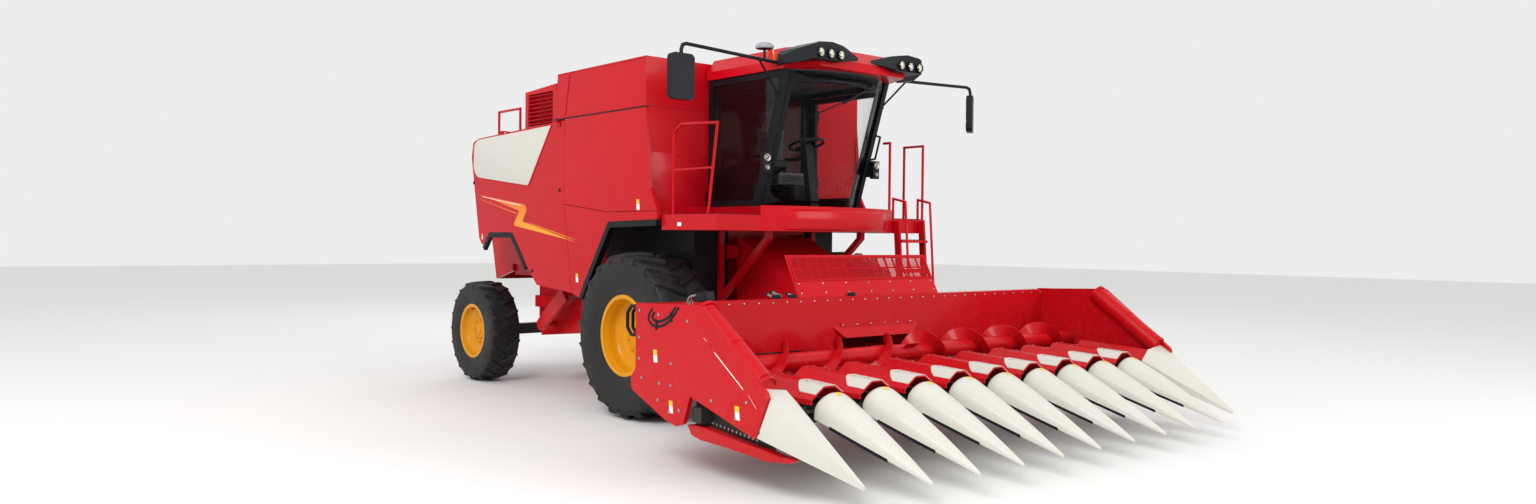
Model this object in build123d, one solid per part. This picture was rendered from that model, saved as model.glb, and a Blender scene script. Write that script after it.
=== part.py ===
from build123d import *
import math
import os

# Combine harvester with a ten-row maize header, in millimetres.
# The model is drawn with its origin on the ground under the front axle: the header points to -Y,
# the machine's left is +X and up is +Z. At the end all of it moves along Y, so that the origin
# is the middle of the whole machine's footprint.
# "side" in a loop is -1 for the machine's right and 1 for its left.

# ---------------------------------------------------------------- driving dimensions
SIDES = (-1, 1)
FIT = 0.05              # radial running clearance of a shaft in its bore
SEAT = 0.3              # gap where a loose piece rests on its seat
SEAM = 6                # gap between neighbouring body panels
PANEL = 40              # a double-skinned body panel or tank wall

WHEELBASE = 3820
BODY_HALF = 1600        # half the width over the side panels
REAR_END = 5200         # rear end of the unloading tube, behind the front axle
SNOUT_TIP_Y = -4620

HUB_DEEP = 100          # how far a wheel's hub reaches in from its disc's outer face

# Wheels: tyre radius, tyre width, bead radius, flange radius, wheel centre x, how far the disc
# lies outwards of the wheel's centre plane, hub radius, lug height, how much lower the tread is
# at its edges, number of V-shaped lugs
FRONT_WHEEL = dict(
    radius=900, width=620, bead=406, flange=440, x=1490, disc=40, hub=170, lug=44, drop=26, lugs=19
)
REAR_WHEEL = dict(
    radius=670, width=400, bead=330, flange=365, x=1480, disc=40, hub=110, lug=32, drop=16, lugs=17
)

# Body and tank heights
FLOOR_Z = 2290          # cab floor, top
SKIRT_Z = 2030          # underside of the cab base and platforms
PLATFORM_Z = 2190       # top of the platforms
PLATFORM_FRONT = -1320
FRONT_SEAM = 1534       # y of the seam between the front panels and the shields
TANK_FRONT, TANK_REAR = -160, FRONT_SEAM
TANK_TOP = 3345
TANK_EAVE = 2770        # where the sloping tank floor meets its wall
TANK_KEEL = 2290
TANK_KEEL_HALF = 330
EXTENSION_TOP = 3880
EXTENSION_REAR = 1740
DECK_Z = 3250           # engine deck
SHIELD_REAR = 4000

# Cab
CAB_HALF = 770
CAB_REAR = -170
CAB_TOP = 3690
PILLAR = 60             # thickness of the cab's side frames
A_FOOT_Y, A_HEAD_Y = -1000, -1450
GLASS = 10
GLASS_BOW = 300         # how far the windscreen bows forward of the pillars
ROOF_TOP = 3920
ROOF_FRONT = -1800

# Feeder house and header
FEEDER_PIVOT = (-420, 1800)             # (y, z) of the lift hinge
FEEDER_HALF = 530
LIFT_PIN_BASE = (-180, 700)             # (y, z) of the lift cylinders' lower pins
LIFT_PIN_EYE = (-1500, 700)             # (y, z) of the pins under the feeder house
LIFT_X = 420
LIFT_DRIFT = 7                          # how far the rod's eye may drift from its pin
HEADER_HALF = 2920
HEADER_BACK = -2000
HEADER_TOP = 1380
ROW_SPACING = 540
ROWS = 10
CROSS_AXIS = (-2400, 830)               # (y, z) of the cross auger
CROSS_TUBE = 83
CROSS_FLIGHT = 205
CROSS_PITCH = 680
TROUGH = 235                            # inner radius of the trough round the auger


# ---------------------------------------------------------------- drawing helpers
def block(x, y, z):
    """A box from three (low, high) pairs."""
    size = [high - low for low, high in (x, y, z)]
    middle = [(high + low) / 2 for low, high in (x, y, z)]
    return Pos(*middle) * Box(*size)


def outline(points, radius=0):
    """A closed face through the points, its corners rounded by one radius or a list of them."""
    return make_face(FilletPolyline(*points, radius=radius, close=True))


def side_cut(points, x_low, x_high, radius=0):
    """A plate or block drawn in the (y, z) plane, from x_low to x_high."""
    return extrude(Plane.YZ.offset(x_low) * outline(points, radius), x_high - x_low)


def front_cut(points, y_low, y_high, radius=0):
    """A plate or block drawn in the (x, z) plane, from y_low to y_high."""
    return extrude(Plane.XZ.offset(-y_high) * outline(points, radius), y_high - y_low)


def plan_cut(points, z_low, z_high, radius=0):
    """A plate or block drawn in the (x, y) plane, from z_low to z_high."""
    return extrude(Plane.XY.offset(z_low) * outline(points, radius), z_high - z_low)


def rod(start, end, radius, sides=0):
    """A round bar between two points, or one with a few flat sides where it is slim."""
    start, end = Vector(*start), Vector(*end)
    along = end - start
    place = Plane(origin=start, z_dir=along)
    if sides:
        return extrude(place * RegularPolygon(radius, sides), along.length)
    return place * Cylinder(radius, along.length, align=(Align.CENTER, Align.CENTER, Align.MIN))


def bar(start, end, wide, deep):
    """A rectangular bar between two points, its wide side level."""
    start, end = Vector(*start), Vector(*end)
    along = end - start
    level = Vector(0, 0, 1).cross(along)
    if level.length < 1:
        level = Vector(1, 0, 0)
    return Plane(origin=start, x_dir=level, z_dir=along) * Box(
        wide, deep, along.length, align=(Align.CENTER, Align.CENTER, Align.MIN)
    )


def tube(points, radius, sides=0):
    """A bent tube through the points, mitred at its corners."""
    path = Polyline(*points)
    start = Vector(*points[0])
    section = RegularPolygon(radius, sides) if sides else Circle(radius)
    profile = Plane(origin=start, z_dir=Vector(*points[1]) - start) * section
    return sweep(profile, path=path, transition=Transition.RIGHT)


def both_sides(piece):
    """The piece on the machine's left and its mirror image on the right."""
    return [piece, mirror(piece, about=Plane.YZ)]


def fused(pieces):
    """One solid from pieces that meet."""
    pieces = list(pieces)
    return pieces[0].fuse(*pieces[1:])


NODES = {}


def node(name, *pieces):
    """Keep the pieces as the solids of one node."""
    NODES[name] = [solid for piece in pieces for solid in piece.solids()]


# ---------------------------------------------------------------- wheels and axles
LUG_TIP, LUG_ROOT = 0.17, 0.21      # half a lug's width at its tip and root, as a share of the pitch
LUG_SWEEP = 0.5                     # how far a lug leans over one half of the tread, as a share of it


def lug_ring(wheel, x, drop, turn):
    """The toothed outline of the tread at one place across its width."""
    tip, pitch = wheel["radius"] - drop, 2 * math.pi / wheel["lugs"]
    corners = (
        (-LUG_ROOT, tip - wheel["lug"]), (-LUG_TIP, tip), (LUG_TIP, tip),
        (LUG_ROOT, tip - wheel["lug"]),
    )
    points = []
    for i in range(wheel["lugs"]):
        for share, radius in corners:
            angle = (i + share) * pitch + turn
            points.append(Vector(x, radius * math.sin(angle), radius * math.cos(angle)))
    return Wire.make_polygon(points, close=True)


def tyre(wheel, centre):
    """A tyre: a carcass under a tread whose lugs run in a V from shoulder to shoulder."""
    half, bead = wheel["width"] / 2, wheel["bead"]
    crown = wheel["radius"] - wheel["lug"] - wheel["drop"] - 19
    seat, belly = 0.84 * half, bead + 0.5 * (crown - bead)
    section = [
        (-seat, bead), (-half, belly), (-0.95 * half, crown), (0.95 * half, crown), (half, belly),
        (seat, bead),
    ]
    carcass = revolve(Plane.XY * outline(section), Axis.X)
    sweep = LUG_SWEEP * half / wheel["radius"]
    edge, drop = 0.93 * half, wheel["drop"]
    stations = ((-edge, drop, sweep), (0, 0, -sweep), (edge, drop, sweep))    # x, drop, turn
    tread = Solid.make_loft([lug_ring(wheel, *station) for station in stations], ruled=True)
    tread -= Rot(0, 90, 0) * Cylinder(crown - 15, wheel["width"])
    return Pos(*centre) * carcass.fuse(tread)


def rim(wheel, centre, side):
    """A wheel disc with its hub inside a barrel, whose two flanges hold the tyre's beads."""
    half, bead, flange = 0.42 * wheel["width"], wheel["bead"] - SEAT, wheel["flange"]
    inside, lip, hub = bead - 14, half + 18, wheel["hub"]
    face = wheel["disc"] + 12
    section = [
        (-lip, inside), (-lip, flange), (-half, bead), (half, bead), (lip, flange), (lip, inside),
        (face + 60, inside), (face, 0.62 * bead), (face, hub), (face + 34, hub - 20), (face + 34, 0),
        (face - HUB_DEEP, 0), (face - HUB_DEEP, hub), (face - 24, hub), (face + 30, inside),
    ]
    section = [(side * x, r) for x, r in section]
    return Pos(*centre) * revolve(Plane.XY * outline(section), Axis.X)


def wheels():
    for side, name in zip(SIDES, ("right", "left")):
        for place, wheel, y in (("front", FRONT_WHEEL, 0), ("rear", REAR_WHEEL, WHEELBASE)):
            centre = (side * wheel["x"], y, wheel["radius"])
            node(f"tyre_{place}_{name}", tyre(wheel, centre))
            node(f"rim_{place}_{name}", rim(wheel, centre, side))


def front_axle():
    """The drive axle: a beam with a gearbox in the middle and a final drive at each end."""
    z = FRONT_WHEEL["radius"]
    end = FRONT_WHEEL["x"] + FRONT_WHEEL["disc"] + 12 - HUB_DEEP - SEAT
    parts = [rod((-end, 0, z), (end, 0, z), 95)]
    parts.append(block((-230, 230), (-220, 220), (z - 190, z + 190)))
    for side in SIDES:
        parts.append(rod((side * (end - 260), 0, z), (side * (end - 20), 0, z), 210))
    node("front_axle", fused(parts))


KINGPIN_X = 1180
KINGPIN_R = 30
ARM_Y = WHEELBASE + 250     # steering arm's eye
ARM_TOP = REAR_WHEEL["radius"] - 112


def rear_axle():
    """The steering axle's beam, with a boss at each end for the kingpin."""
    z = REAR_WHEEL["radius"]
    beam = block((-KINGPIN_X, KINGPIN_X), (WHEELBASE - 70, WHEELBASE + 70), (z - 70, z + 70))
    hanger = front_cut(
        [(-330, z + 70), (330, z + 70), (180, z + 330), (-180, z + 330)],
        WHEELBASE - 110, WHEELBASE + 110,
    )
    parts = [beam, hanger]
    for side in SIDES:
        parts.append(rod((side * KINGPIN_X, WHEELBASE, z - 105), (side * KINGPIN_X, WHEELBASE, z + 105), 80))
    body = fused(parts)
    for side in SIDES:
        body -= rod(
            (side * KINGPIN_X, WHEELBASE, z - 120), (side * KINGPIN_X, WHEELBASE, z + 120), KINGPIN_R + FIT
        )
    node("rear_axle", body)


def knuckles():
    """Each knuckle: a fork round the axle's boss, the kingpin, the spindle and the steering arm."""
    z = REAR_WHEEL["radius"]
    for side, name in zip(SIDES, ("right", "left")):
        x = side * KINGPIN_X
        outer = sorted((x - side * 60, x + side * 125))
        cheek = sorted((x + side * 95, x + side * 125))
        parts = [
            block(outer, (WHEELBASE - 60, WHEELBASE + 60), (z + 112, z + 136)),
            block(outer, (WHEELBASE - 60, WHEELBASE + 60), (z - 136, z - 112)),
            block(cheek, (WHEELBASE - 60, WHEELBASE + 60), (z - 136, z + 136)),
            rod((x, WHEELBASE, z - 136), (x, WHEELBASE, z + 136), KINGPIN_R),
            rod(
                (cheek[0 if side > 0 else 1], WHEELBASE, z),
                (side * (REAR_WHEEL["x"] + REAR_WHEEL["disc"] + 12 - HUB_DEEP - SEAT), WHEELBASE, z),
                70,
            ),
            block((x - 35, x + 35), (WHEELBASE + 50, ARM_Y + 40), (z - 136, z - 112)),
        ]
        node(f"knuckle_{name}", fused(parts))


def tie_rod():
    """The rod between the steering arms, with a ball joint over each arm's eye."""
    z = ARM_TOP + 45
    parts = [rod((-KINGPIN_X, ARM_Y, z), (KINGPIN_X, ARM_Y, z), 20)]
    for side in SIDES:
        parts.append(rod((side * KINGPIN_X, ARM_Y, ARM_TOP + SEAT), (side * KINGPIN_X, ARM_Y, z + 26), 34))
    node("tie_rod", fused(parts))


# ---------------------------------------------------------------- frame and body
HULL_HALF = 1050
HULL_NARROW = 780           # half the width of the body between the steered wheels
HULL_BELOW = 1150           # underside of the threshing body over the front axle
REAR_FLOOR = 1400           # underside of the body over the rear axle
HULL_FRONT = -290
HULL_REAR = WHEELBASE + 480
BAY_FLOOR = 2400            # floor of the engine bay
BAY_FRONT, BAY_REAR = 1600, 3880
BAY_HALF = BODY_HALF - 150
HINGE_REACH = 2          # how far outside the shield's face its hinge lies
RAIL_WIDE = 70
RAIL_Z = (1020, 1170)
STRUT_X = 660
PIVOT_R = 40
LIFT_PIN_R = 25


def hull():
    """The threshing body: a closed housing that steps down to the sieve box between the axles."""
    side_view = [
        (HULL_FRONT, TANK_KEEL), (HULL_FRONT, HULL_BELOW), (500, HULL_BELOW), (900, 880),
        (1900, 750), (WHEELBASE - 780, 640), (WHEELBASE - 640, 1250), (WHEELBASE - 520, REAR_FLOOR),
        (HULL_REAR, REAR_FLOOR),
        (HULL_REAR, 2250), (BAY_REAR, BAY_FLOOR), (BAY_FRONT, BAY_FLOOR), (BAY_FRONT, TANK_KEEL),
    ]
    body = side_cut(side_view, -HULL_HALF, HULL_HALF)
    for side in SIDES:      # room for the steered wheels
        x = sorted((side * HULL_NARROW, side * (HULL_HALF + 10)))
        body -= block(x, (WHEELBASE - 720, HULL_REAR + 10), (600, REAR_FLOOR + 160))
    mouth = block((-FEEDER_HALF - 30, FEEDER_HALF + 30), (HULL_FRONT - 10, HULL_FRONT + 140), (1240, 2000))
    body -= mouth
    y, z = FEEDER_PIVOT
    ears = []
    for side in SIDES:      # ears that hold the feeder house's pivot
        x = sorted((side * (FEEDER_HALF + 40), side * (FEEDER_HALF + 75)))
        ears.append(
            side_cut([(HULL_FRONT, z + 90), (HULL_FRONT, z - 90), (y - 60, z - 60), (y - 60, z + 60)], *x)
        )
    for side in SIDES:      # arms that carry the front side panels
        for low_y, low_z in ((1250, 1500), (1450, 2150)):
            x = sorted((side * (HULL_HALF - 5), side * (BODY_HALF - PANEL)))
            ears.append(block(x, (low_y, low_y + 60), (low_z, low_z + 60)))
    body = fused([body] + ears)
    body -= rod((-FEEDER_HALF - 100, y, z), (FEEDER_HALF + 100, y, z), PIVOT_R + FIT)
    # the belt guard under the body's right side
    low, high = (2650, 820), (2040, 1250)
    guard = [
        (high[0] - 60, high[1] - 90), (high[0] + 80, high[1] + 60), (low[0] + 85, low[1] + 25),
        (low[0] + 10, low[1] - 90), (low[0] - 90, low[1] - 50),
    ]
    strip = side_cut(guard, -1300, -1250, [10, 10, 60, 60, 60])
    arms = [rod((-1255, y, z), (-HULL_HALF + 5, y, z), 38) for y, z in (low, high)]
    node("hull", fused([body, strip] + arms))


def chassis_frame():
    """Rails beside the body on the front axle, a subframe over the rear axle and the cab's struts."""
    parts = []
    for side in SIDES:
        x = sorted((side * HULL_HALF, side * (HULL_HALF + RAIL_WIDE)))
        parts.append(block(x, (HULL_FRONT, WHEELBASE - 730), RAIL_Z))
        x = sorted((side * 240, side * 330))
        parts.append(block(x, (WHEELBASE - 400, WHEELBASE + 340), (REAR_WHEEL["radius"] + 330, REAR_FLOOR)))
    rear = fused(
        [
            parts[1], parts[3],
            block((-240, 240), (WHEELBASE - 120, WHEELBASE + 120), (REAR_WHEEL["radius"] + 330, 1120)),
        ]
    )
    struts = []
    for side in SIDES:
        x = side * STRUT_X
        post = block(sorted((x, x + side * 60)), (HULL_FRONT - 50, HULL_FRONT), (HULL_BELOW + 60, SKIRT_Z))
        brace = side_cut(
            [(HULL_FRONT - 50, 1330), (-1080, SKIRT_Z - 60), (-1080, SKIRT_Z), (-1150, SKIRT_Z),
             (-1150, SKIRT_Z - 80), (HULL_FRONT - 50, 1240)],
            *sorted((x, x + side * 60)),
        )
        struts.append(fused([post, brace]))
    # the carrier under the front axle that holds the lift cylinders' lower pins
    y, z = LIFT_PIN_BASE
    carrier = []
    for side in SIDES:
        for offset in (-60, 35):
            x = side * LIFT_X + offset
            carrier.append(side_cut(
                [
                    (y - 45, z - 45), (y + 45, z - 45), (-10, 830), (-10, 910), (-70, 930),
                    (y - 45, z + 50),
                ], x, x + 25
            ))
        carrier.append(rod((side * LIFT_X - 60, y, z), (side * LIFT_X + 60, y, z), LIFT_PIN_R))
    node("chassis_frame", parts[0], parts[2], rear, *struts)
    return carrier


def front_axle_mounts(carrier):
    """Add to the front axle the lift cylinders' carrier and the pads under the rails."""
    axle = fused(NODES["front_axle"] + carrier)
    for side in SIDES:
        x = sorted((side * (HULL_HALF - 10), side * (HULL_HALF + RAIL_WIDE)))
        axle = axle.fuse(block(x, (-110, 110), (FRONT_WHEEL["radius"] - 40, RAIL_Z[0])))
    node("front_axle", axle)


def tow_hitch():
    """A clevis under the rear of the body."""
    y, z = HULL_REAR + 60, 960
    front = HULL_REAR - 120
    web = side_cut([(front, REAR_FLOOR), (front, z), (HULL_REAR, z - 30), (HULL_REAR, REAR_FLOOR)], -60, 60)
    jaws = [block((-60, 60), (front, y + 60), (z + low, z + low + 22)) for low in (-52, 30)]
    hitch = fused([web] + jaws) - rod((0, y, z - 60), (0, y, z + 60), 16)
    node("tow_hitch", hitch)


# ---------------------------------------------------------------- side panels and shields
ARCH = [(-372, 2140), (550, 2120), (1050, 1420), (1160, 1240)]


def side_panels():
    """Fixed panels: the tank's cheek above, and the front arch with its leg below."""
    inner, outer = BODY_HALF - PANEL, BODY_HALF
    upper = [
        (-152, TANK_TOP - 10), (-240, 2480), (-380, 2232), (610, 2232), (FRONT_SEAM, 2336),
        (FRONT_SEAM, TANK_TOP - 10),
    ]
    lower = [(-372, 2226), ARCH[0], ARCH[1], ARCH[2], ARCH[3], (1334, 1285), (FRONT_SEAM, 2328), (610, 2226)]
    pieces = []
    for points in (upper, lower):
        pieces += both_sides(side_cut(points, inner, outer))
    node("side_panels", *pieces)


def arch_trims():
    """The black lining of each front wheel arch."""
    wide = 66
    band = ARCH + [(ARCH[3][0] - wide, ARCH[3][1] - 12), (ARCH[2][0] - wide, ARCH[2][1] - 24),
                   (ARCH[1][0] - 38, ARCH[1][1] - wide), (ARCH[0][0], ARCH[0][1] - wide)]
    node("arch_trims", *both_sides(side_cut(band, BODY_HALF - 60, BODY_HALF + 14)))


SHIELD_OUTLINE = [
    (FRONT_SEAM + SEAM, 3320), (FRONT_SEAM + SEAM, 2316), (1340, 1290), (2180, 1350), (2450, 1590),
    (2820, 1990), (3480, 1990), (3650, 1800), (3760, 1920), (SHIELD_REAR, 3010), (3950, 3210), (3780, 3250),
]
SHIELD_HINGE_Z = 3275
PALE_OUTLINE = [(1850, 3285), (2410, 2580), (3930, 2745), (3910, 3190), (3770, 3235)]


HINGES_Y = (1665, 3125)     # where the shields' hinges stand along the machine
BARREL_R = 13
BARREL_HALF = 24


def hinge_barrel(side, y):
    return Pos(
        side * (BODY_HALF + HINGE_REACH), y, SHIELD_HINGE_Z,
    ) * Rot(90, 0, 0) * Cylinder(BARREL_R, 2 * BARREL_HALF)


def hinge_strap(side, y):
    """A strap from the engine deck over the shield's edge, with an ear on each side of the barrel."""
    x_end = BODY_HALF + HINGE_REACH + BARREL_R
    low = SHIELD_HINGE_Z + BARREL_R + 4
    strap = block(sorted((side * (BAY_HALF - 70), side * x_end)), (y - 36, y + 36), (low, low + 12))
    foot = block(sorted((side * (BAY_HALF - 70), side * BAY_HALF)), (y - 36, y + 36), (DECK_Z - 5, low))
    ears = [
        block(
            sorted((side * (x_end - 2 * BARREL_R), side * x_end)),
            sorted((y + end * (BARREL_HALF + SEAT), y + end * 36)),
            (SHIELD_HINGE_Z - BARREL_R, low),
        ) for end in SIDES
    ]
    return [strap, foot] + ears


def shields():
    """The rear side shields, hung along their top edge, with a pale panel on each."""
    for side, name in zip(SIDES, ("right", "left")):
        x = sorted((side * (BODY_HALF - PANEL), side * BODY_HALF))
        radii = [0, 0, 0, 0, 0, 260, 260, 60, 60, 60, 60, 0]
        shield = side_cut(SHIELD_OUTLINE, *x, radii)
        for y in HINGES_Y:
            # the edge is cut away round the strap, but for a tongue that carries the barrel
            shield -= block(
                sorted((side * (BODY_HALF - PANEL - 1), side * (BODY_HALF + 1))), (y - 45, y + 45),
                (SHIELD_HINGE_Z - 20, TANK_TOP),
            )
            tongue = block(x, (y - BARREL_HALF, y + BARREL_HALF), (SHIELD_HINGE_Z - 21, SHIELD_HINGE_Z - 4))
            shield = fused([shield, tongue, hinge_barrel(side, y)])
        node(f"shield_{name}", shield)
        x = sorted((side * BODY_HALF, side * (BODY_HALF + 10)))
        node(f"pale_panel_{name}", side_cut(PALE_OUTLINE, *x, [0, 60, 200, 120, 0]))


# ---------------------------------------------------------------- tank and engine bay
def tank_section(inset):
    """The tank's cross section, its walls drawn in by an inset."""
    wall = BODY_HALF - PANEL - inset
    top = TANK_TOP + (10 if inset else 0)
    return [
        (-wall, top), (-wall, TANK_EAVE + 0.4 * inset), (-TANK_KEEL_HALF, TANK_KEEL + inset),
        (TANK_KEEL_HALF, TANK_KEEL + inset), (wall, TANK_EAVE + 0.4 * inset), (wall, top),
    ]


def grain_tank():
    """The tank: four walls over a floor that slopes to the emptying auger's cover."""
    shell = front_cut(tank_section(0), TANK_FRONT, TANK_REAR)
    shell -= front_cut(tank_section(PANEL), TANK_FRONT + PANEL, TANK_REAR - PANEL)
    ridge = side_cut([(300, TANK_KEEL + PANEL), (1100, TANK_KEEL + PANEL), (700, TANK_KEEL + 260)], -300, 300)
    node("grain_tank", fused([shell, ridge]))


def tank_extension():
    """The sheet-metal collar on the tank, its rear wall leaning forward."""
    seat = block((-BODY_HALF, BODY_HALF), (TANK_FRONT + 10, EXTENSION_REAR + 45), (TANK_TOP, TANK_TOP + 20))
    side = [
        (TANK_FRONT + 10, TANK_TOP + 20), (EXTENSION_REAR + 45, TANK_TOP + 20),
        (EXTENSION_REAR - 45, EXTENSION_TOP), (TANK_FRONT + 10, EXTENSION_TOP),
    ]
    collar = seat + side_cut(side, -BODY_HALF, BODY_HALF)
    inner = [
        (TANK_FRONT + PANEL, TANK_TOP - 10), (TANK_REAR - PANEL, TANK_TOP - 10),
        (TANK_REAR - PANEL, TANK_TOP + 30),
        (EXTENSION_REAR - 10, TANK_TOP + 60), (EXTENSION_REAR - 90, EXTENSION_TOP + 10),
        (TANK_FRONT + PANEL, EXTENSION_TOP + 10),
    ]
    wall = BODY_HALF - 2 * PANEL
    node("tank_extension", collar - side_cut(inner, -wall, wall))


def engine_bay():
    """The engine under its deck: walls, deck and the raised radiator house behind the tank."""
    outer = block((-BAY_HALF, BAY_HALF), (BAY_FRONT, BAY_REAR), (BAY_FLOOR, DECK_Z))
    inner = block(
        (-BAY_HALF + PANEL, BAY_HALF - PANEL), (BAY_FRONT + PANEL, BAY_REAR - PANEL),
        (BAY_FLOOR - 10, DECK_Z - PANEL),
    )
    house = side_cut([(2000, DECK_Z), (2780, DECK_Z), (2780, 3780), (2000, 3820)], -BAY_HALF, 800)
    straps = [piece for side in SIDES for y in HINGES_Y for piece in hinge_strap(side, y)]
    recess, slat = (2080, 2700), 24
    house -= block((-BAY_HALF - 1, -BAY_HALF + 60), recess, (3340, 3740))
    slats = [
        front_cut(
            [
                (-BAY_HALF + 4, z), (-BAY_HALF + 4, z + 6), (-BAY_HALF + 61, z + slat + 14),
                (-BAY_HALF + 61, z + slat),
            ],
            *recess,
        ) for z in range(3360, 3720, 50)
    ]
    x, foot = -BAY_HALF + 35, DECK_Z - 5
    rail = tube([(x, 2980, foot), (x, 2980, 3600), (x, 3570, 3600), (x, 3570, foot)], 17, 8)
    node("engine_housing", fused([outer - inner, house, rail] + straps + slats))
    lamps = [
        block(
            sorted((side * 1290, side * 1420)), (BAY_REAR + SEAT, BAY_REAR + 34), (2860, 3040),
        ) for side in SIDES
    ]
    node("tail_lamps", *lamps)
    node("engine_block", block((-450, 350), (1950, 3150), (BAY_FLOOR, BAY_FLOOR + 720)))


HOOD_HALF = 820             # half the width of the straw hood


def rear_hood():
    """The straw hood: a hollow housing open underneath, behind the body."""
    end = HULL_REAR + 650
    outer = [
        (HULL_REAR, 2250), (HULL_REAR, 1450), (end - 150, 1320), (end, 1900), (end - 250, 2500),
        (BAY_REAR + 1, 2950), (BAY_REAR + 1, BAY_FLOOR),
    ]
    inner = [
        (HULL_REAR, 2200), (HULL_REAR, 1380), (end - 180, 1250), (end - 45, 1890), (end - 278, 2462),
        (HULL_REAR, 2700),
    ]
    hood = side_cut(outer, -HOOD_HALF, HOOD_HALF) - side_cut(inner, -HOOD_HALF + PANEL, HOOD_HALF - PANEL)
    node("rear_hood", hood)


# ---------------------------------------------------------------- unloading auger
UNLOADER_X = 1250
UNLOADER_Y = 1990
UNLOADER_R = 150
UNLOADER_Z = 3560


def unloader():
    """The riser's collar on the deck, and the turning elbow with its tube folded to the rear."""
    collar = rod((UNLOADER_X, UNLOADER_Y, DECK_Z), (UNLOADER_X, UNLOADER_Y, DECK_Z + 60), UNLOADER_R + 30)
    node("unloader_seat", collar)
    elbow = tube(
        [(UNLOADER_X, UNLOADER_Y, DECK_Z + 60 + SEAT), (UNLOADER_X, UNLOADER_Y, UNLOADER_Z),
         (UNLOADER_X, REAR_END - 260, UNLOADER_Z), (UNLOADER_X, REAR_END, UNLOADER_Z - 190)],
        UNLOADER_R,
    )
    node("unloading_auger", elbow)


# ---------------------------------------------------------------- cab
def leaning(y, z):
    """The y of the front pillar's front edge at a height, shifted by y."""
    share = (z - FLOOR_Z) / (CAB_TOP - FLOOR_Z)
    return A_FOOT_Y + (A_HEAD_Y - A_FOOT_Y) * share + y


def side_frame():
    """The outline of a cab side and of its opening."""
    outer = [
        (CAB_REAR, FLOOR_Z), (leaning(0, FLOOR_Z), FLOOR_Z), (leaning(0, CAB_TOP), CAB_TOP),
        (CAB_REAR, CAB_TOP),
    ]
    low, high = FLOOR_Z + SIDE_RIM, CAB_TOP - SIDE_RIM
    inner = [
        (CAB_REAR - SIDE_RIM, low), (leaning(SIDE_RIM, low), low),
        (leaning(SIDE_RIM, high), high), (CAB_REAR - SIDE_RIM, high),
    ]
    return outer, inner


DOOR_GAP = 8
DOOR_RIM = 60
SIDE_RIM = 70           # width of the frame round a cab side's opening
DOOR_HINGE = (CAB_HALF + 16, CAB_REAR - 62)     # (x, y)
DOOR_HINGE_Z = (2550, 3350)
HINGE_TALL = 120


def shrunk(points, by):
    """A convex outline drawn in by a distance on every side."""
    return offset(outline(points), -by)


def cab():
    outer, inner = side_frame()
    frames = []
    for side in SIDES:
        x = sorted((side * (CAB_HALF - PILLAR), side * CAB_HALF))
        frames.append(side_cut(outer, *x) - side_cut(inner, *x))
    back = front_cut(
        [
            (-CAB_HALF + PILLAR, FLOOR_Z), (CAB_HALF - PILLAR, FLOOR_Z), (CAB_HALF - PILLAR, CAB_TOP),
            (-CAB_HALF + PILLAR, CAB_TOP),
        ],
        CAB_REAR - 40, CAB_REAR,
    )
    back -= front_cut([(-620, 2700), (620, 2700), (620, 3600), (-620, 3600)], CAB_REAR - 50, CAB_REAR + 10)
    seats = []      # the lower halves of the door's hinges
    for z in DOOR_HINGE_Z:
        seats.append(
            block((CAB_HALF - 2, DOOR_HINGE[0] + 14), (DOOR_HINGE[1] - 14, CAB_REAR - 30), (z - 26, z - SEAT))
        )
    x = CAB_HALF - 2
    handle = tube([
        (x, leaning(30, 3130), 3130), (x + 80, leaning(20, 3130), 3110), (x + 80, leaning(10, 2870), 2870),
        (x, leaning(30, 2850), 2850),
    ], 12, 8)
    node("cab_frame", fused(frames + [back, handle] + seats + [lamp_holder(side) for side in SIDES]))

    # glass of the right side and the back
    low, high = 12, 12 + GLASS
    glass_right = extrude(Plane.YZ.offset(-CAB_HALF + low) * shrunk(inner, SEAT), high - low)
    glass_back = block((-620 + SEAT, 620 - SEAT), (CAB_REAR - 25, CAB_REAR - 15), (2700 + SEAT, 3600 - SEAT))
    node("cab_glass", glass_right, glass_back)

    # the door: a rim with its glass, in the left opening
    plane = Plane.YZ.offset(CAB_HALF - 45)
    rim_face = shrunk(inner, DOOR_GAP)
    hole = shrunk(inner, DOOR_GAP + DOOR_RIM)
    hinges, lugs = [], []
    x, y = DOOR_HINGE
    for z in DOOR_HINGE_Z:
        tall = (z, z + HINGE_TALL)
        hinges.append(rod((x, y, tall[0]), (x, y, tall[1]), 12))
        lugs.append(block((CAB_HALF - 2, x), (y - 80, y - 20), tall))
        lugs.append(block((CAB_HALF + 4, x), (y - 30, y), tall))
    node("door_frame", fused([extrude(plane * rim_face, 45) - extrude(plane * hole, 45)] + hinges + lugs))
    glass_face = shrunk(inner, DOOR_GAP + DOOR_RIM + SEAT)
    node("door_glass", extrude(Plane.YZ.offset(CAB_HALF - 30) * glass_face, GLASS))

    # windscreen: a bowed pane between the front pillars, leaning forward at the top
    half = CAB_HALF - PILLAR - SEAT
    sections = []
    for z in (FLOOR_Z + 2, CAB_TOP - 2):
        edge = leaning(35, z)
        front = ThreePointArc((-half, edge), (0, edge - GLASS_BOW), (half, edge))
        rear = ThreePointArc((-half, edge + GLASS), (0, edge + GLASS - GLASS_BOW), (half, edge + GLASS))
        ends = [Line((x, edge), (x, edge + GLASS)) for x in (-half, half)]
        sections.append(Plane.XY.offset(z) * make_face(Curve() + [front, rear] + ends))
    node("windscreen", loft(Sketch() + sections, ruled=True))


LAMP_Z = 2740               # middle of the work lamps on the front pillars
LAMP_X = CAB_HALF + 48


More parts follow.
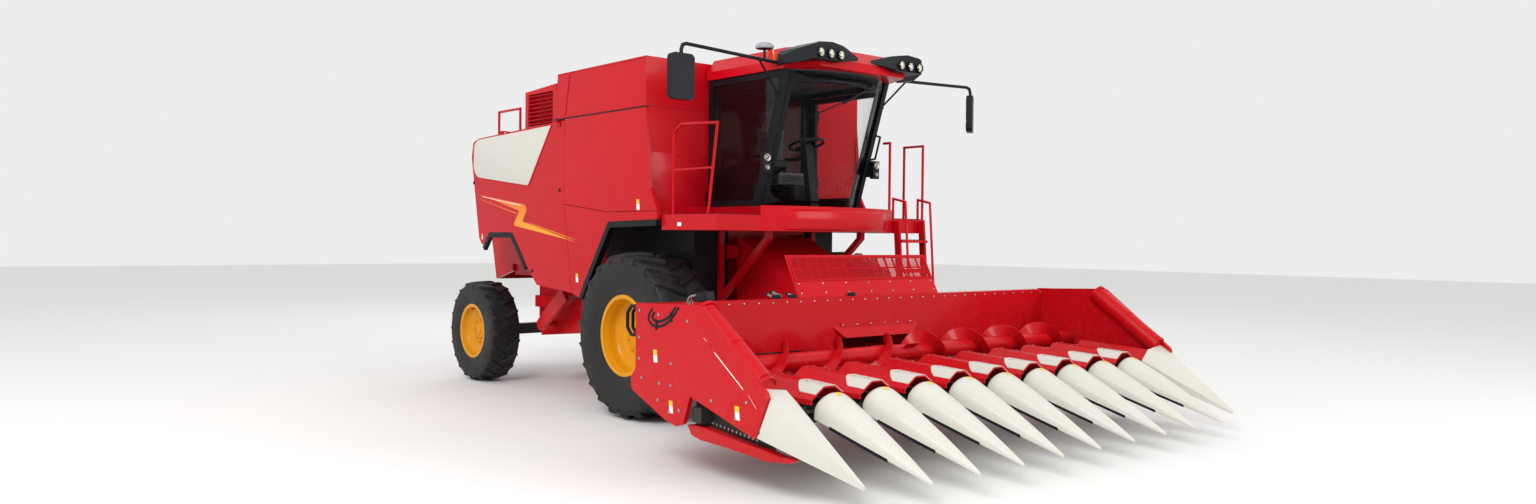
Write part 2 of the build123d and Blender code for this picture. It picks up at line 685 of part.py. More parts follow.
def lamp_holder(side):
    """A bracket on the front pillar for a work lamp over a small indicator."""
    y = leaning(0, 2650)
    arm = block(
        sorted((side * (CAB_HALF - 2), side * (CAB_HALF + 25))), (y - 60, y + 5),
        (LAMP_Z - 80, LAMP_Z + 90),
    )
    plate = sorted((side * CAB_HALF, side * (CAB_HALF + 95)))
    return arm + block(plate, (y - 110, y - 55), (LAMP_Z - 100, LAMP_Z + 100))


def pillar_lamps():
    """The lenses of the lamps on the front pillars."""
    y = leaning(0, 2650) - 110
    lenses = []
    for side in SIDES:
        for radius, z in ((42, LAMP_Z + 50), (26, LAMP_Z - 50)):
            lenses.append(rod((side * LAMP_X, y - 14, z), (side * LAMP_X, y - SEAT, z), radius, 16))
    node("pillar_lamps", *lenses)


def cab_base():
    """The floor box under the cab and the moulded skirt that bows out under the windscreen."""
    floor = block((-CAB_HALF - 10, CAB_HALF + 10), (-1180, HULL_FRONT), (SKIRT_Z + 60, FLOOR_Z))
    front = PLATFORM_FRONT - SEAT
    bow = Curve() + [
        Polyline((980, front), (CAB_HALF + 10, front), (CAB_HALF + 10, -1180), (-CAB_HALF - 10, -1180),
                 (-CAB_HALF - 10, front), (-980, front)),
        ThreePointArc((-980, front), (0, -1560), (980, front)),
    ]
    skirt = extrude(Plane.XY.offset(SKIRT_Z) * make_face(bow), FLOOR_Z - SKIRT_Z)
    node("cab_base", fused([floor, skirt]))


BEACON_R = 44               # half the size of the ledge under the beacon
BEACON_Y = -1300


def cab_roof():
    plan = [
        (-800, CAB_REAR), (-800, -1450), (-620, ROOF_FRONT), (620, ROOF_FRONT), (800, -1450),
        (800, CAB_REAR),
    ]
    crown = [(-700, CAB_REAR), (-700, -1360), (-540, -1640), (540, -1640), (700, -1360), (700, CAB_REAR)]
    brim = plan_cut(plan, CAB_TOP, CAB_TOP + 90)
    top = loft(Sketch() + [
        Plane.XY.offset(CAB_TOP + 90) * outline(plan), Plane.XY.offset(ROOF_TOP) * outline(crown),
    ], ruled=True)
    ledge = block((-800 - 2 * BEACON_R, -795), (BEACON_Y - BEACON_R, BEACON_Y + BEACON_R), (3760, 3774))
    node("cab_roof", fused([brim, top, ledge]))
    node(
        "beacon",
        rod((-800 - BEACON_R, BEACON_Y, 3774 + SEAT), (-800 - BEACON_R, BEACON_Y, 3880), BEACON_R - 4),
    )


LAMP_R = 50
POD_FRONT = ROOF_FRONT - 110


def roof_visor():
    """The two black lamp pods, which wrap the roof's front corners: a hump that tapers to an ear."""
    plan = [
        (100, ROOF_FRONT), (100, ROOF_FRONT - 12), (330, POD_FRONT + 30), (420, POD_FRONT), (780, POD_FRONT),
        (940, -1600), (900, -1462), (806, -1462), (620, ROOF_FRONT),
    ]
    front = [
        (90, 3800), (330, 3762), (420, 3738), (790, 3738), (880, CAB_TOP + 15), (960, CAB_TOP + 15),
        (960, 3770),
        (860, 3850), (740, 3905), (560, 3920), (330, 3886), (90, 3822),
    ]
    pod = plan_cut(plan, CAB_TOP, 4000) & front_cut(front, -2000, -1300)
    node("roof_visor", *both_sides(pod))
    lamps = []
    for side in SIDES:
        for x in (450, 590, 730):
            lamps.append(
                rod((side * x, POD_FRONT - 28, 3800), (side * x, POD_FRONT - SEAT, 3800), LAMP_R, 16)
            )
    node("roof_lamps", *lamps)


MIRROR_X = 2130
MIRROR_Y = -1500
MIRROR_ROUND = 50
MIRROR_TURN = (0, 35)       # degrees that the right and the left head are turned in to the driver


def mirrors():
    """Tube arms from the roof's corners, stayed to the pillars, with a mirror head under each bend."""
    pieces = []
    for side, turn in zip(SIDES, MIRROR_TURN):
        start = (side * 806, MIRROR_Y + 120, 3745)
        bends = [(side * (MIRROR_X - 60), MIRROR_Y + 5, 3769), (side * (MIRROR_X - 16), MIRROR_Y + 1, 3752)]
        arm = tube(
            [start] + bends + [(side * MIRROR_X, MIRROR_Y, 3708), (side * MIRROR_X, MIRROR_Y, 3640)],
            18, 8,
        )
        flange = block(
            sorted((side * (800 + SEAT), side * 814)), (start[1] - 28, start[1] + 28), (3717, 3773),
        )
        y = leaning(35, 3440)
        stay = rod((side * 1100, MIRROR_Y + 93, 3751), (side * (CAB_HALF + 12), y, 3440), 12, 6)
        foot = block(
            sorted((side * (CAB_HALF + SEAT), side * (CAB_HALF + 16))), (y - 22, y + 22), (3416, 3464),
        )
        head = front_cut([(-135, 3240), (135, 3240), (135, 3670), (-135, 3670)], -35, 35, MIRROR_ROUND)
        head = Pos(side * MIRROR_X, MIRROR_Y, 0) * Rot(0, 0, turn) * head
        pieces.append(fused([arm, flange, stay, foot, head]))
    # the small dome on a stalk on the right arm
    x, y = -1020, MIRROR_Y + 100
    dome = revolve(Plane.XZ * outline([(0, 0), (85, 0), (92, 22), (60, 55), (0, 66)]), Axis.Z)
    pieces[0] = fused([pieces[0], rod((x, y, 3750), (x, y, 3862), 12, 8), Pos(x, y, 3860) * dome])
    node("mirrors", *pieces)


def cab_inside():
    """The driver's seat, the steering column and the side console."""
    base = block((-200, 200), (-620, -260), (FLOOR_Z, 2560))
    cushion = block((-250, 250), (-760, -260), (2560, 2690))
    back = side_cut([(-330, 2690), (-230, 2690), (-215, 3240), (-285, 3240)], -240, 240, 20)
    head = side_cut([(-290, 3225), (-220, 3225), (-215, 3400), (-285, 3400)], -130, 130, 20)
    rests = [block(sorted((side * 252, side * 312)), (-600, -300), (2850, 2890)) for side in SIDES]
    posts = [block(sorted((side * 235, side * 312)), (-340, -300), (2740, 2860)) for side in SIDES]
    node("seat", fused([base, cushion, back, head] + rests + posts))
    foot = block(
        (-60, 60), (-1090, -1010), (FLOOR_Z, FLOOR_Z + 80),
    ) + bar((0, -1050, FLOOR_Z + 40), (0, -940, 2985), 110, 80)
    tilted = Plane(origin=(0, -940, 2990), z_dir=(0, 190, 700))
    wheel = tilted * (Cylinder(200, 22) - Cylinder(178, 30))
    spoke = tilted * Box(380, 40, 14)
    node("steering_column", fused([foot, wheel, spoke]))
    console = side_cut(
        [(-1000, 2800), (-1000, 2720), (-700, 2600), (-700, FLOOR_Z), (-300, FLOOR_Z), (-300, 2760)],
        -560, -330, 20,
    )
    node("console", console)


# ---------------------------------------------------------------- platforms and ladder
def platforms():
    outer_x, front, rear = BODY_HALF - 50, PLATFORM_FRONT, -392
    rail, foot = 15, PLATFORM_Z - 10
    for side, name in zip(SIDES, ("right", "left")):
        x = sorted((side * (CAB_HALF + 10), side * outer_x))
        deck = block(x, (front, rear), (SKIRT_Z, PLATFORM_Z))
        hollow = block((x[0] + 20, x[1] - 20), (front + 20, rear - 20), (SKIRT_Z - 10, PLATFORM_Z - 30))
        post = side * (outer_x - 25)
        if side < 0:
            rails = [
                tube([
                    (post, -560, foot), (post, -560, 3040), (post, -700, 3120), (post, -1290, 3090),
                    (post, -1150, foot),
                ], rail, 8),
                rod((post, -560, 2650), (post, -1218, 2650), rail - 3, 8),
            ]
        else:
            rails = [
                tube(
                    [(post, -1010, foot), (post, -1010, 3050), (post, -1300, 3050), (post, -1300, foot)],
                    rail, 8,
                )
            ]
            inner = 960
            rails.append(tube([(inner, -1300, foot), (inner, -1300, 3050), (inner, -1200, 3050)], rail, 8))
        node(f"platform_{name}", fused([deck - hollow] + rails))


def ladder():
    """The ladder to the left platform, in front of the drive wheel."""
    parts = []
    top, foot = (-1335, 2170), (-1470, 480)
    for x in (1010, 1430):
        parts.append(
            side_cut(
                [
                    (top[0] + 15, top[1]), (top[0] - 65, top[1]), (foot[0] - 65, foot[1]),
                    (foot[0] + 15, foot[1]),
                ],
                x, x + 30,
            )
        )
    for step in range(5):
        z = 560 + 340 * step
        y = foot[0] + (top[0] - foot[0]) * (z - foot[1]) / (top[1] - foot[1])
        parts.append(block((1020, 1450), (y - 100, y + 10), (z, z + 30)))
    for x in (1025, 1445):      # hand rails from the stiles up to the platform
        parts.append(tube([
            (x, foot[0] + 10, 1000), (x, foot[0] - 110, 1060), (x, top[0] - 150, 2380),
            (x, top[0] + 35, 2420),
            (x, top[0] + 35, PLATFORM_Z + SEAT),
        ], 14, 8))
    node("ladder", fused(parts))


# ---------------------------------------------------------------- feeder house and lift cylinders
def feeder_house():
    wall = 20
    outer = [(HEADER_BACK, 590), (HEADER_BACK, 1210), (-430, 1960), (-400, 1900), (-400, 1260)]
    inner = [(HEADER_BACK - 10, 610), (HEADER_BACK - 10, 1180), (-350, 1905), (-350, 1280)]
    box = side_cut(outer, -FEEDER_HALF, FEEDER_HALF) - side_cut(
        inner, -FEEDER_HALF + wall, FEEDER_HALF - wall,
    )
    y, z = FEEDER_PIVOT
    pivot = rod((-FEEDER_HALF - 75, y, z), (FEEDER_HALF + 75, y, z), PIVOT_R)
    parts = [box, pivot]
    y, z = LIFT_PIN_EYE
    for side in SIDES:      # ears under the house for the cylinders' rods
        for offset in (-60, 35):
            x = side * LIFT_X + offset
            parts.append(
                side_cut(
                    [(y - 110, z + 130), (y - 40, z - 40), (y + 40, z - 40), (y + 150, z + 160)], x,
                    x + 25,
                )
            )
        parts.append(rod((side * LIFT_X - 60, y, z), (side * LIFT_X + 60, y, z), LIFT_PIN_R))
    node("feeder_house", fused(parts))


def lift_cylinders():
    """Two cylinders, each a barrel on its lower pin and a rod whose eye reaches its pin under the house."""
    y0, z0 = LIFT_PIN_BASE
    y1, z1 = LIFT_PIN_EYE
    barrels, rods = [], []
    barrel_end = y0 - 800
    for side in SIDES:
        x = side * LIFT_X
        eye = rod((x - 30, y0, z0), (x + 30, y0, z0), 50, 8)
        neck = block((x - 30, x + 30), (y0 - 120, y0 - 20), (z0 - 34, z0 + 34))
        barrel = fused([eye, neck, rod((x, y0 - 100, z0), (x, barrel_end, z0), 50)])
        barrel -= rod((x - 40, y0, z0), (x + 40, y0, z0), LIFT_PIN_R + FIT)
        barrel -= rod((x, y0 - 120, z0), (x, barrel_end - 10, z0), 28 + FIT)
        barrels.append(barrel)
        eye = rod((x - 30, y1, z1), (x + 30, y1, z1), 60, 8)
        shaft = fused([eye, rod((x, y1 + 50, z1), (x, y0 - 190, z1), 28)])
        rods.append(shaft - rod((x - 40, y1, z1), (x + 40, y1, z1), LIFT_PIN_R + LIFT_DRIFT + 5))
    node("lift_barrels", *barrels)
    node("lift_rods", *rods)


# ---------------------------------------------------------------- header
SHEET_IN = HEADER_HALF - PANEL          # inner face of the side sheets
HOOD_REAR, HOOD_FRONT = -2720, -3560
DECK_TOP = 620              # top of the deck plates
HOOD_FOOT = DECK_TOP + 40   # the chains pass under the hoods
SNOUT_HALF = 190


def header_frame():
    """The back wall with its feeder mouth, the trough under the auger, the beams and the screen."""
    wall = block((-SHEET_IN, SHEET_IN), (HEADER_BACK - 30, HEADER_BACK), (640, HEADER_TOP))
    wall -= block((-FEEDER_HALF + 20, FEEDER_HALF - 20), (HEADER_BACK - 40, HEADER_BACK + 10), (655, 1010))
    wall -= block((-1670, -870), (HEADER_BACK - 40, HEADER_BACK + 10), (862, 880))
    # the plate over the mouth, its lower edge arched
    low, high = 960, 1120
    edge = Curve() + [
        ThreePointArc((-FEEDER_HALF, low), (0, low + 60), (FEEDER_HALF, low)),
        Polyline((FEEDER_HALF, low), (FEEDER_HALF, high), (-FEEDER_HALF, high), (-FEEDER_HALF, low)),
    ]
    cover = extrude(Plane.XZ.offset(30 - HEADER_BACK) * make_face(edge), 12)
    y, z = CROSS_AXIS
    skin = 12
    start, end = math.radians(-25), math.radians(-155)

    def at(radius, angle):
        return (y - radius * math.cos(angle), z + radius * math.sin(angle))

    def arc(radius):
        return ThreePointArc(at(radius, start), at(radius, math.radians(-90)), at(radius, end))

    inner, outer = arc(TROUGH), arc(TROUGH + skin)
    ends = [Line(at(TROUGH, a), at(TROUGH + skin, a)) for a in (start, end)]
    trough = extrude(Plane.YZ.offset(-SHEET_IN) * make_face(Curve() + [inner, outer] + ends), 2 * SHEET_IN)
    y1, z1 = at(TROUGH + skin / 2, end)
    back_apron = side_cut(
        [(y1 - 2, z1 + 6), (y1 - 2, z1 - 8), (HEADER_BACK - 25, 640), (HEADER_BACK - 25, 660)],
        -SHEET_IN, SHEET_IN,
    )
    y2, z2 = at(TROUGH + skin / 2, start)
    lip = side_cut(
        [(y2 + 4, z2 + 6), (y2 + 4, z2 - 8), (HOOD_REAR, 690), (HOOD_REAR, 704)], -SHEET_IN, SHEET_IN,
    )
    beam = block((-SHEET_IN, SHEET_IN), (HEADER_BACK, HEADER_BACK + 100), (HEADER_TOP - 100, HEADER_TOP))
    low = [
        block(
            sorted((s * (FEEDER_HALF + 5), s * SHEET_IN)), (HEADER_BACK, HEADER_BACK + 90), (640, 740),
        ) for s in SIDES
    ]
    node("header_frame", fused([wall, cover, trough, back_apron, lip, beam] + low))


SCREEN_HALF = 1030
SCREEN_TOP = 1790
SCREEN_LEAN = 210           # how far the screen leans back over its height


def guard_screen():
    """The leaning guard on the header's top beam, its upper half barred."""
    foot, thick = HEADER_BACK + 30, 20
    low = HEADER_TOP + SEAT
    plate = side_cut(
        [
            (foot, low), (foot + thick, low), (foot + thick + SCREEN_LEAN, SCREEN_TOP),
            (foot + SCREEN_LEAN, SCREEN_TOP),
        ],
        -SCREEN_HALF, SCREEN_HALF,
    )
    columns, gap = 16, 14
    pitch = (2 * SCREEN_HALF - 60) / columns
    for i in range(columns):
        x = -SCREEN_HALF + 30 + i * pitch
        for z in (1560, 1665):
            plate -= block((x + gap / 2, x + pitch - gap / 2), (foot - 10, foot + 300), (z, z + 90))
    node("guard_screen", plate)


def side_sheets():
    """The header's end walls with the rounded crest over each."""
    sheet = [
        (-1960, HEADER_TOP + 10), (-1960, 830), (-1890, 750), (-1905, 645), (-2390, 450), (-2560, 412),
        (-2650, 445),
        (-2740, 680), (-3560, 450), (-3690, 790), (-2870, 1420), (-2200, 1395),
    ]
    radii = [0, 30, 30, 40, 60, 60, 30, 20, 40, 60, 60, 0]
    y, z = CROSS_AXIS
    pieces = []
    plate = side_cut(sheet, SHEET_IN, HEADER_HALF, radii)
    x, top, foot = SHEET_IN - 60, Vector(0, -2800, 1368), Vector(0, -3630, 786)
    crest = rod((x, top.Y, top.Z), (x, foot.Y, foot.Z), 90)
    ring = top + (foot - top) * 0.03
    crest += rod((x, top.Y, top.Z), (x, ring.Y, ring.Z), 104)
    crest -= block((0, 2 * HEADER_HALF), (-4000, HOOD_FRONT + SEAT), (0, 2000))
    piece = fused([plate, crest])
    piece -= block((HEADER_HALF, HEADER_HALF + 200), (-4000, -1000), (0, 2000))
    piece -= rod((SHEET_IN - 10, y, z), (SHEET_IN + 20, y, z), 30 + FIT)
    node("side_sheets", *both_sides(piece))


def hood_section(y, left, right, ridge, ridge_z):
    """The open section of a row hood: its feet, and the (low, high) x of its flat ridge."""
    skin = HOOD_SKIN
    points = [
        (left, HOOD_FOOT), (left, HOOD_FOOT + 40), (ridge[0], ridge_z), (ridge[1], ridge_z),
        (right, HOOD_FOOT + 40),
        (right, HOOD_FOOT), (right - skin, HOOD_FOOT), (right - skin, HOOD_FOOT + 32),
        (ridge[1] - 4, ridge_z - skin),
        (ridge[0] + 4, ridge_z - skin), (left + skin, HOOD_FOOT + 32), (left + skin, HOOD_FOOT),
    ]
    return Plane.XZ.offset(-y) * outline(points)


HOOD_RIDGE = (835, 795)     # the ridge's height at the hood's rear and front
HOOD_SKIN = 12


def ridge_at(y):
    """The height of a row hood's ridge at a place along it."""
    share = (HOOD_REAR - y) / (HOOD_REAR - HOOD_FRONT)
    return HOOD_RIDGE[0] + (HOOD_RIDGE[1] - HOOD_RIDGE[0]) * share


def row_hoods():
    """The ridged covers between the rows, with a narrower one at each end."""
    rear_half, front_half = 238, 200
    hood = loft(Sketch() + [
        hood_section(HOOD_REAR, -rear_half, rear_half, (-60, 60), HOOD_RIDGE[0]),
        hood_section(HOOD_FRONT, -front_half, front_half, (-60, 60), HOOD_RIDGE[1]),
    ], ruled=True)
    end_hood = loft(Sketch() + [
        hood_section(HOOD_REAR, -rear_half, 20, (-60, 0), HOOD_RIDGE[0]),
        hood_section(HOOD_FRONT, -front_half, 20, (-60, 0), HOOD_RIDGE[1]),
    ], ruled=True)
    pieces = [Pos((row - ROWS / 2) * ROW_SPACING, 0, 0) * hood for row in range(1, ROWS)]
    pieces += both_sides(Pos(ROWS / 2 * ROW_SPACING, 0, 0) * end_hood)
    node("row_hoods", *pieces)


def snout_section(y, half, bottom, side_height, top):
    arc = ThreePointArc((half, side_height), (0, top), (-half, side_height))
    lines = [
        Line((-half, side_height), (-half, bottom)), Line((-half, bottom), (half, bottom)),
        Line((half, bottom), (half, side_height)),
    ]
    return Plane.XZ.offset(-y) * make_face(Curve() + [arc] + lines)


def snouts():
    """The pale pointed snouts between the rows and the faceted dividers at both ends."""
    pieces = []
    for row in range(1, ROWS):
        snout = loft(Sketch() + [
            snout_section(HOOD_FRONT, SNOUT_HALF - 10, 545, 600, 742),
            snout_section(HOOD_FRONT - 60, SNOUT_HALF, 538, 592, 766),
            snout_section(SNOUT_TIP_Y, 14, 200, 206, 226),
        ], ruled=True)
        pieces.append(Pos((row - ROWS / 2) * ROW_SPACING, 0, 0) * snout)
    middle = ROWS / 2 * ROW_SPACING     # x of the divider's tip
    rear = [(2500, 545), (2500, 690), (2620, 800), (HEADER_HALF, 840), (HEADER_HALF, 470)]
    tip = [
        (middle - 20, 215), (middle - 18, 232), (middle - 8, 246), (middle + 12, 246), (middle + 12, 215),
    ]
    divider = loft(Sketch() + [
        Plane.XZ.offset(-HOOD_FRONT) * outline(rear), Plane.XZ.offset(-SNOUT_TIP_Y - 160) * outline(tip),
    ], ruled=True)
    # its outer wall stops at the side sheet's front edge
    divider -= side_cut(
        [(-3540, 400), (-3565, 452), (-3700, 800), (-3700, 1000), (-3400, 1000), (-3400, 400)],
        SHEET_IN - SEAT, HEADER_HALF + 10,
    )
    node("snouts", *pieces, *both_sides(divider))


def row_centres():
    return [(row - (ROWS - 1) / 2) * ROW_SPACING for row in range(ROWS)]


DECK = 20               # thickness of a deck plate
SLOT = 25               # half the stalk slot between two deck plates


def row_units():
    """One carrier beam with ten row units: gear case, two arms and two fluted stalk rolls."""
    parts = [block((-SHEET_IN, SHEET_IN), (-2840, HOOD_REAR), (470, 590))]
    top = DECK_TOP - DECK
    roll_r, flutes = 45, 4
    star = []
    for i in range(2 * flutes):
        radius, angle = roll_r * (1 if i % 2 else 0.55), i * math.pi / flutes
        star.append((radius * math.cos(angle), radius * math.sin(angle)))
    for x in row_centres():
        parts.append(block((x - 130, x + 130), (-3060, -2780), (440, top)))
        for side in SIDES:
            parts.append(
                block(sorted((x + side * 110, x + side * 135)), (HOOD_FRONT, -2780), (top - 80, top))
            )
            roll = Pos(x + side * 50, 500) * Polygon(*star, align=None)
            parts.append(extrude(Plane.XZ.offset(3050) * roll, 460))
    for row in range(ROWS + 1):     # posts that carry the row hoods
        x = (row - ROWS / 2) * ROW_SPACING
        wide = (x - (36 if row > 0 else -6), x + (36 if row < ROWS else -6))
        rear, front = HOOD_REAR - 40, HOOD_REAR - 90
        high = [ridge_at(y) - HOOD_SKIN - SEAT for y in (rear, front)]
        parts.append(side_cut([(rear, 560), (rear, high[0]), (front, high[1]), (front, 560)], *wide))
    node("row_units", fused(parts))


# Gathering chains: how far a chain's two runs lie from the row's middle, how far its fingers reach
# towards it, the width and height of its links, and the room at the hood's ends
CHAIN = dict(near=40, far=108, finger=12, wide=16, tall=22, end=60, fingers=3)


def gathering_chain(x, side):
    """A flat chain loop with fingers that reach over the stalk slot, drawn as one outline."""
    near, far, wide = CHAIN["near"], CHAIN["far"], CHAIN["wide"]
    front, rear = HOOD_FRONT + CHAIN["end"], HOOD_REAR - CHAIN["end"]
    nose = (near + far) / 2
    pitch = (rear - front - 120) / CHAIN["fingers"]
    run = []
    for i in range(CHAIN["fingers"]):
        y = front + 60 + (i + 0.3 + 0.25 * side) * pitch
        run += [(near, y - 20), (CHAIN["finger"], y), (near, y + 20)]
    loop = [(far, front + 34), (nose, front), (near, front + 34)] + run
    loop += [(near, rear - 34), (nose, rear), (far, rear - 34)]
    hole = [
        (near + wide, front + 40), (near + wide, rear - 40), (far - wide, rear - 40),
        (far - wide, front + 40),
    ]
    place = (DECK_TOP, DECK_TOP + CHAIN["tall"])
    loop, hole = [[(x + side * u, y) for u, y in points] for points in (loop, hole)]
    return plan_cut(loop, *place) - plan_cut(hole, *place)


def deck_plates():
    """Two plates over each row unit with the stalk slot between them, a gathering chain on each."""
    plates = []
    for x in row_centres():
        for side in SIDES:
            across = sorted((x + side * SLOT, x + side * 140))
            plate = block(across, (HOOD_FRONT, HOOD_REAR - 20), (DECK_TOP - DECK, DECK_TOP))
            plates.append(fused([plate, gathering_chain(x, side)]))
    node("deck_plates", *plates)


AUGER_STEPS = 12            # facets of the cross auger round its tube


def flight(x_start, hand, turns):
    """A helical band round the cross auger's tube, made of flat facets."""
    steps, thick = AUGER_STEPS, 12
    y0, z0 = CROSS_AXIS
    inner, outer = CROSS_TUBE - 8, CROSS_FLIGHT
    count = int(turns * steps)

    def point(i, radius, shift):
        angle = 2 * math.pi * i / steps
        x = x_start + hand * (CROSS_PITCH * i / steps) + shift
        return Vector(x, y0 + radius * math.cos(angle), z0 + radius * math.sin(angle))

    faces = []

    def quad(a, b, c, d):
        faces.append(Face(Wire.make_polygon([a, b, c], close=True)))
        faces.append(Face(Wire.make_polygon([a, c, d], close=True)))

    for i in range(count):
        corners = [[point(j, r, s) for r in (inner, outer)] for j in (i, i + 1) for s in (0, thick)]
        (a0, b0), (a1, b1), (c0, d0), (c1, d1) = corners
        quad(a0, b0, d0, c0)
        quad(a1, c1, d1, b1)
        quad(b0, b1, d1, d0)
        quad(a0, c0, c1, a1)
    for i in (0, count):
        quad(point(i, inner, 0), point(i, outer, 0), point(i, outer, thick), point(i, inner, thick))
    return Solid(Shell(faces))


def cross_auger():
    """The header's cross auger, its flights leading from both ends to the feeder mouth."""
    y, z = CROSS_AXIS
    reach = SHEET_IN - 20
    core = Pos(0, y, z) * Rot(0, 90, 0) * RegularPolygon(CROSS_TUBE, AUGER_STEPS)
    parts = [extrude(core, reach, both=True)]
    parts += [rod((side * reach, y, z), (side * (SHEET_IN + 15), y, z), 30) for side in SIDES]
    for side in SIDES:
        parts.append(flight(side * (reach - 60), -side, 4))
    node("cross_auger", fused(parts))


def header_pipes():
    """The bent pressure pipes behind the right side sheet, from a connector block on the top beam."""
    x, y, z = -SHEET_IN + 70, HEADER_BACK + 100, HEADER_TOP - 30
    coupler = block((x - 60, x + 60), (y + SEAT, y + 40), (z - 30, z + 22))
    pipes = []
    for aside in (-28, 28):
        u = x + aside
        pipes.append(tube([
            (u, y + 35, z), (u, y + 130, z), (u, y + 190, z - 60), (u, y + 190, z - 190),
            (u, y + 130, z - 250), (u, HEADER_BACK + SEAT, z - 250),
        ], 15, 8))
    node("header_pipes", fused([coupler] + pipes))


# ---------------------------------------------------------------- write the nodes
def build():
    wheels()
    rear_axle()
    knuckles()
    tie_rod()
    carrier = chassis_frame()
    front_axle()
    front_axle_mounts(carrier)
    hull()
    tow_hitch()
    side_panels()
    arch_trims()
    shields()
    grain_tank()
    tank_extension()
    engine_bay()
    rear_hood()
    unloader()
    cab()
    pillar_lamps()
    cab_base()
    cab_roof()
    roof_visor()
    mirrors()
    cab_inside()
    platforms()
    ladder()
    feeder_house()
    lift_cylinders()
    header_frame()
    side_sheets()
    row_hoods()
    snouts()
    row_units()
    guard_screen()
    header_pipes()
    deck_plates()
    cross_auger()


MIDDLE_Y = (REAR_END + SNOUT_TIP_Y) / 2

if __name__ == "__main__":
    build()
    os.makedirs("parts", exist_ok=True)
    for name, solids in NODES.items():
        moved = [Pos(0, -MIDDLE_Y, 0) * solid for solid in solids]
        export_step(Compound(children=moved), f"parts/{name}.step")
    print(len(NODES), "nodes")
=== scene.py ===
# %% [markdown]
# # A combine harvester with a ten-row maize header
# The solids of the machine come from a fixed frame: this lesson dresses them. It gives every
# surface a finish, and makes by mesh what a solid is too plain for: tyres with lugs, pressed
# rims, moulded snouts, rivets, chains, lamps and the driver's seat.

# %% Load the frame
import math

import bmesh
import bpy
from mathutils import Matrix, Vector


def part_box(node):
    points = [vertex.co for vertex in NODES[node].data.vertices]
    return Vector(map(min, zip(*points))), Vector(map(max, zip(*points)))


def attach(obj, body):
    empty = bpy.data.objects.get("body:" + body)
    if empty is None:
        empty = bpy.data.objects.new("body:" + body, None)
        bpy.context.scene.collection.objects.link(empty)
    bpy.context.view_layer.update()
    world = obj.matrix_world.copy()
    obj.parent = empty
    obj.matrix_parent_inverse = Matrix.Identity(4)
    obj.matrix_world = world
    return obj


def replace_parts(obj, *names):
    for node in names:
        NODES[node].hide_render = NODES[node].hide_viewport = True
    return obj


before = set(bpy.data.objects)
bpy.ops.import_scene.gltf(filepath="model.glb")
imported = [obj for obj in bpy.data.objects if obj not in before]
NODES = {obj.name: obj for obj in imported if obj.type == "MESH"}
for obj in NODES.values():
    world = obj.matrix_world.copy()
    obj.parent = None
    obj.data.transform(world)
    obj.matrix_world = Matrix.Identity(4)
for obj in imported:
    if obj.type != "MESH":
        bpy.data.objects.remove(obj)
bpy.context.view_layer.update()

scene = bpy.context.scene
SIDES = {"right": -1, "left": 1}
BOTH = SIDES.values()
OUTWARD = {-1: "-x", 1: "+x"}       # the way that each side's face looks

# %% [markdown]
# ## Where things are
# The frame is in metres, +Z up, with the header towards -Y and the machine's left at +X. Places
# on a machine like this are measured from its front axle, so one helper turns such a place into
# the frame's. The axle itself is read from the frame: it is the middle of a front tyre.

# %% Measure from the front axle
def middle(node):
    """The middle of a solid's box."""
    low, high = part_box(node)
    return (Vector(low) + Vector(high)) / 2


AXLE_Y = middle("tyre_front_right").y


def at(x, y, z):
    """A place given from the ground under the front axle."""
    return Vector((x, y + AXLE_Y, z))


print("front axle at y =", round(AXLE_Y, 3))

# %% [markdown]
# ## The camera
# It stands off the machine's right front corner at the height of a standing person. It is made
# first, because the size of the smallest detail worth modelling depends on how near it stands.

# %% Make the camera
CAMERA_PLACE = at(-8.05, -9.582, 1.951)
CAMERA_YAW, CAMERA_PITCH, CAMERA_ROLL = math.radians(40.377), math.radians(-0.972), math.radians(0.624)
LENS, SHIFT = 25.04, (0.00727, 0.00297)

look = Vector((
    math.sin(CAMERA_YAW) * math.cos(CAMERA_PITCH), math.cos(CAMERA_YAW) * math.cos(CAMERA_PITCH),
    math.sin(CAMERA_PITCH),
))
level = Vector((math.cos(CAMERA_YAW), -math.sin(CAMERA_YAW), 0))
over = level.cross(look)
across = level * math.cos(CAMERA_ROLL) + over * math.sin(CAMERA_ROLL)
upward = over * math.cos(CAMERA_ROLL) - level * math.sin(CAMERA_ROLL)

camera = bpy.data.objects.new("camera", bpy.data.cameras.new("camera"))
scene.collection.objects.link(camera)
camera.matrix_world = Matrix.Translation(CAMERA_PLACE) @ Matrix((across, upward, -look)).transposed().to_4x4()
camera.data.lens = LENS
camera.data.shift_x, camera.data.shift_y = SHIFT
scene.camera = camera
print("camera to machine:", round((CAMERA_PLACE - at(0, 0, 1.5)).length, 2), "m")

# %% [markdown]
# ## The studio
# Sheet metal shows its shape by what it mirrors. One wide soft light high on the camera's side
# lights the panels that face it, a weaker one opens up the front, and a third draws an edge
# along the roof from behind. The floor is plain and pale.

# %% Make the floor and the lights
def light(name, place, target, size, power):
    """A soft rectangular light that faces a place."""
    lamp = bpy.data.objects.new(name, bpy.data.lights.new(name, "AREA"))
    lamp.data.shape = "RECTANGLE"
    lamp.data.size, lamp.data.size_y = size
    lamp.data.energy = power
    lamp.location = place
    lamp.rotation_euler = (Vector(target) - Vector(place)).to_track_quat("-Z", "Y").to_euler()
    scene.collection.objects.link(lamp)


floor_mesh = bpy.data.meshes.new("studio_floor")
floor_mesh.from_pydata([(-60, -60, 0), (60, -60, 0), (60, 60, 0), (-60, 60, 0)], [], [(0, 1, 2, 3)])
floor = bpy.data.objects.new("studio_floor", floor_mesh)
scene.collection.objects.link(floor)

light("key_light", (-14, -7, 12), (-1, -1, 1.5), (8, 6), 1700)
light("front_light", (5, -17, 7), (0, -2, 1.2), (9, 5), 800)
light("rim_light", (9, 13, 11), (0, 1, 2), (12, 6), 380)

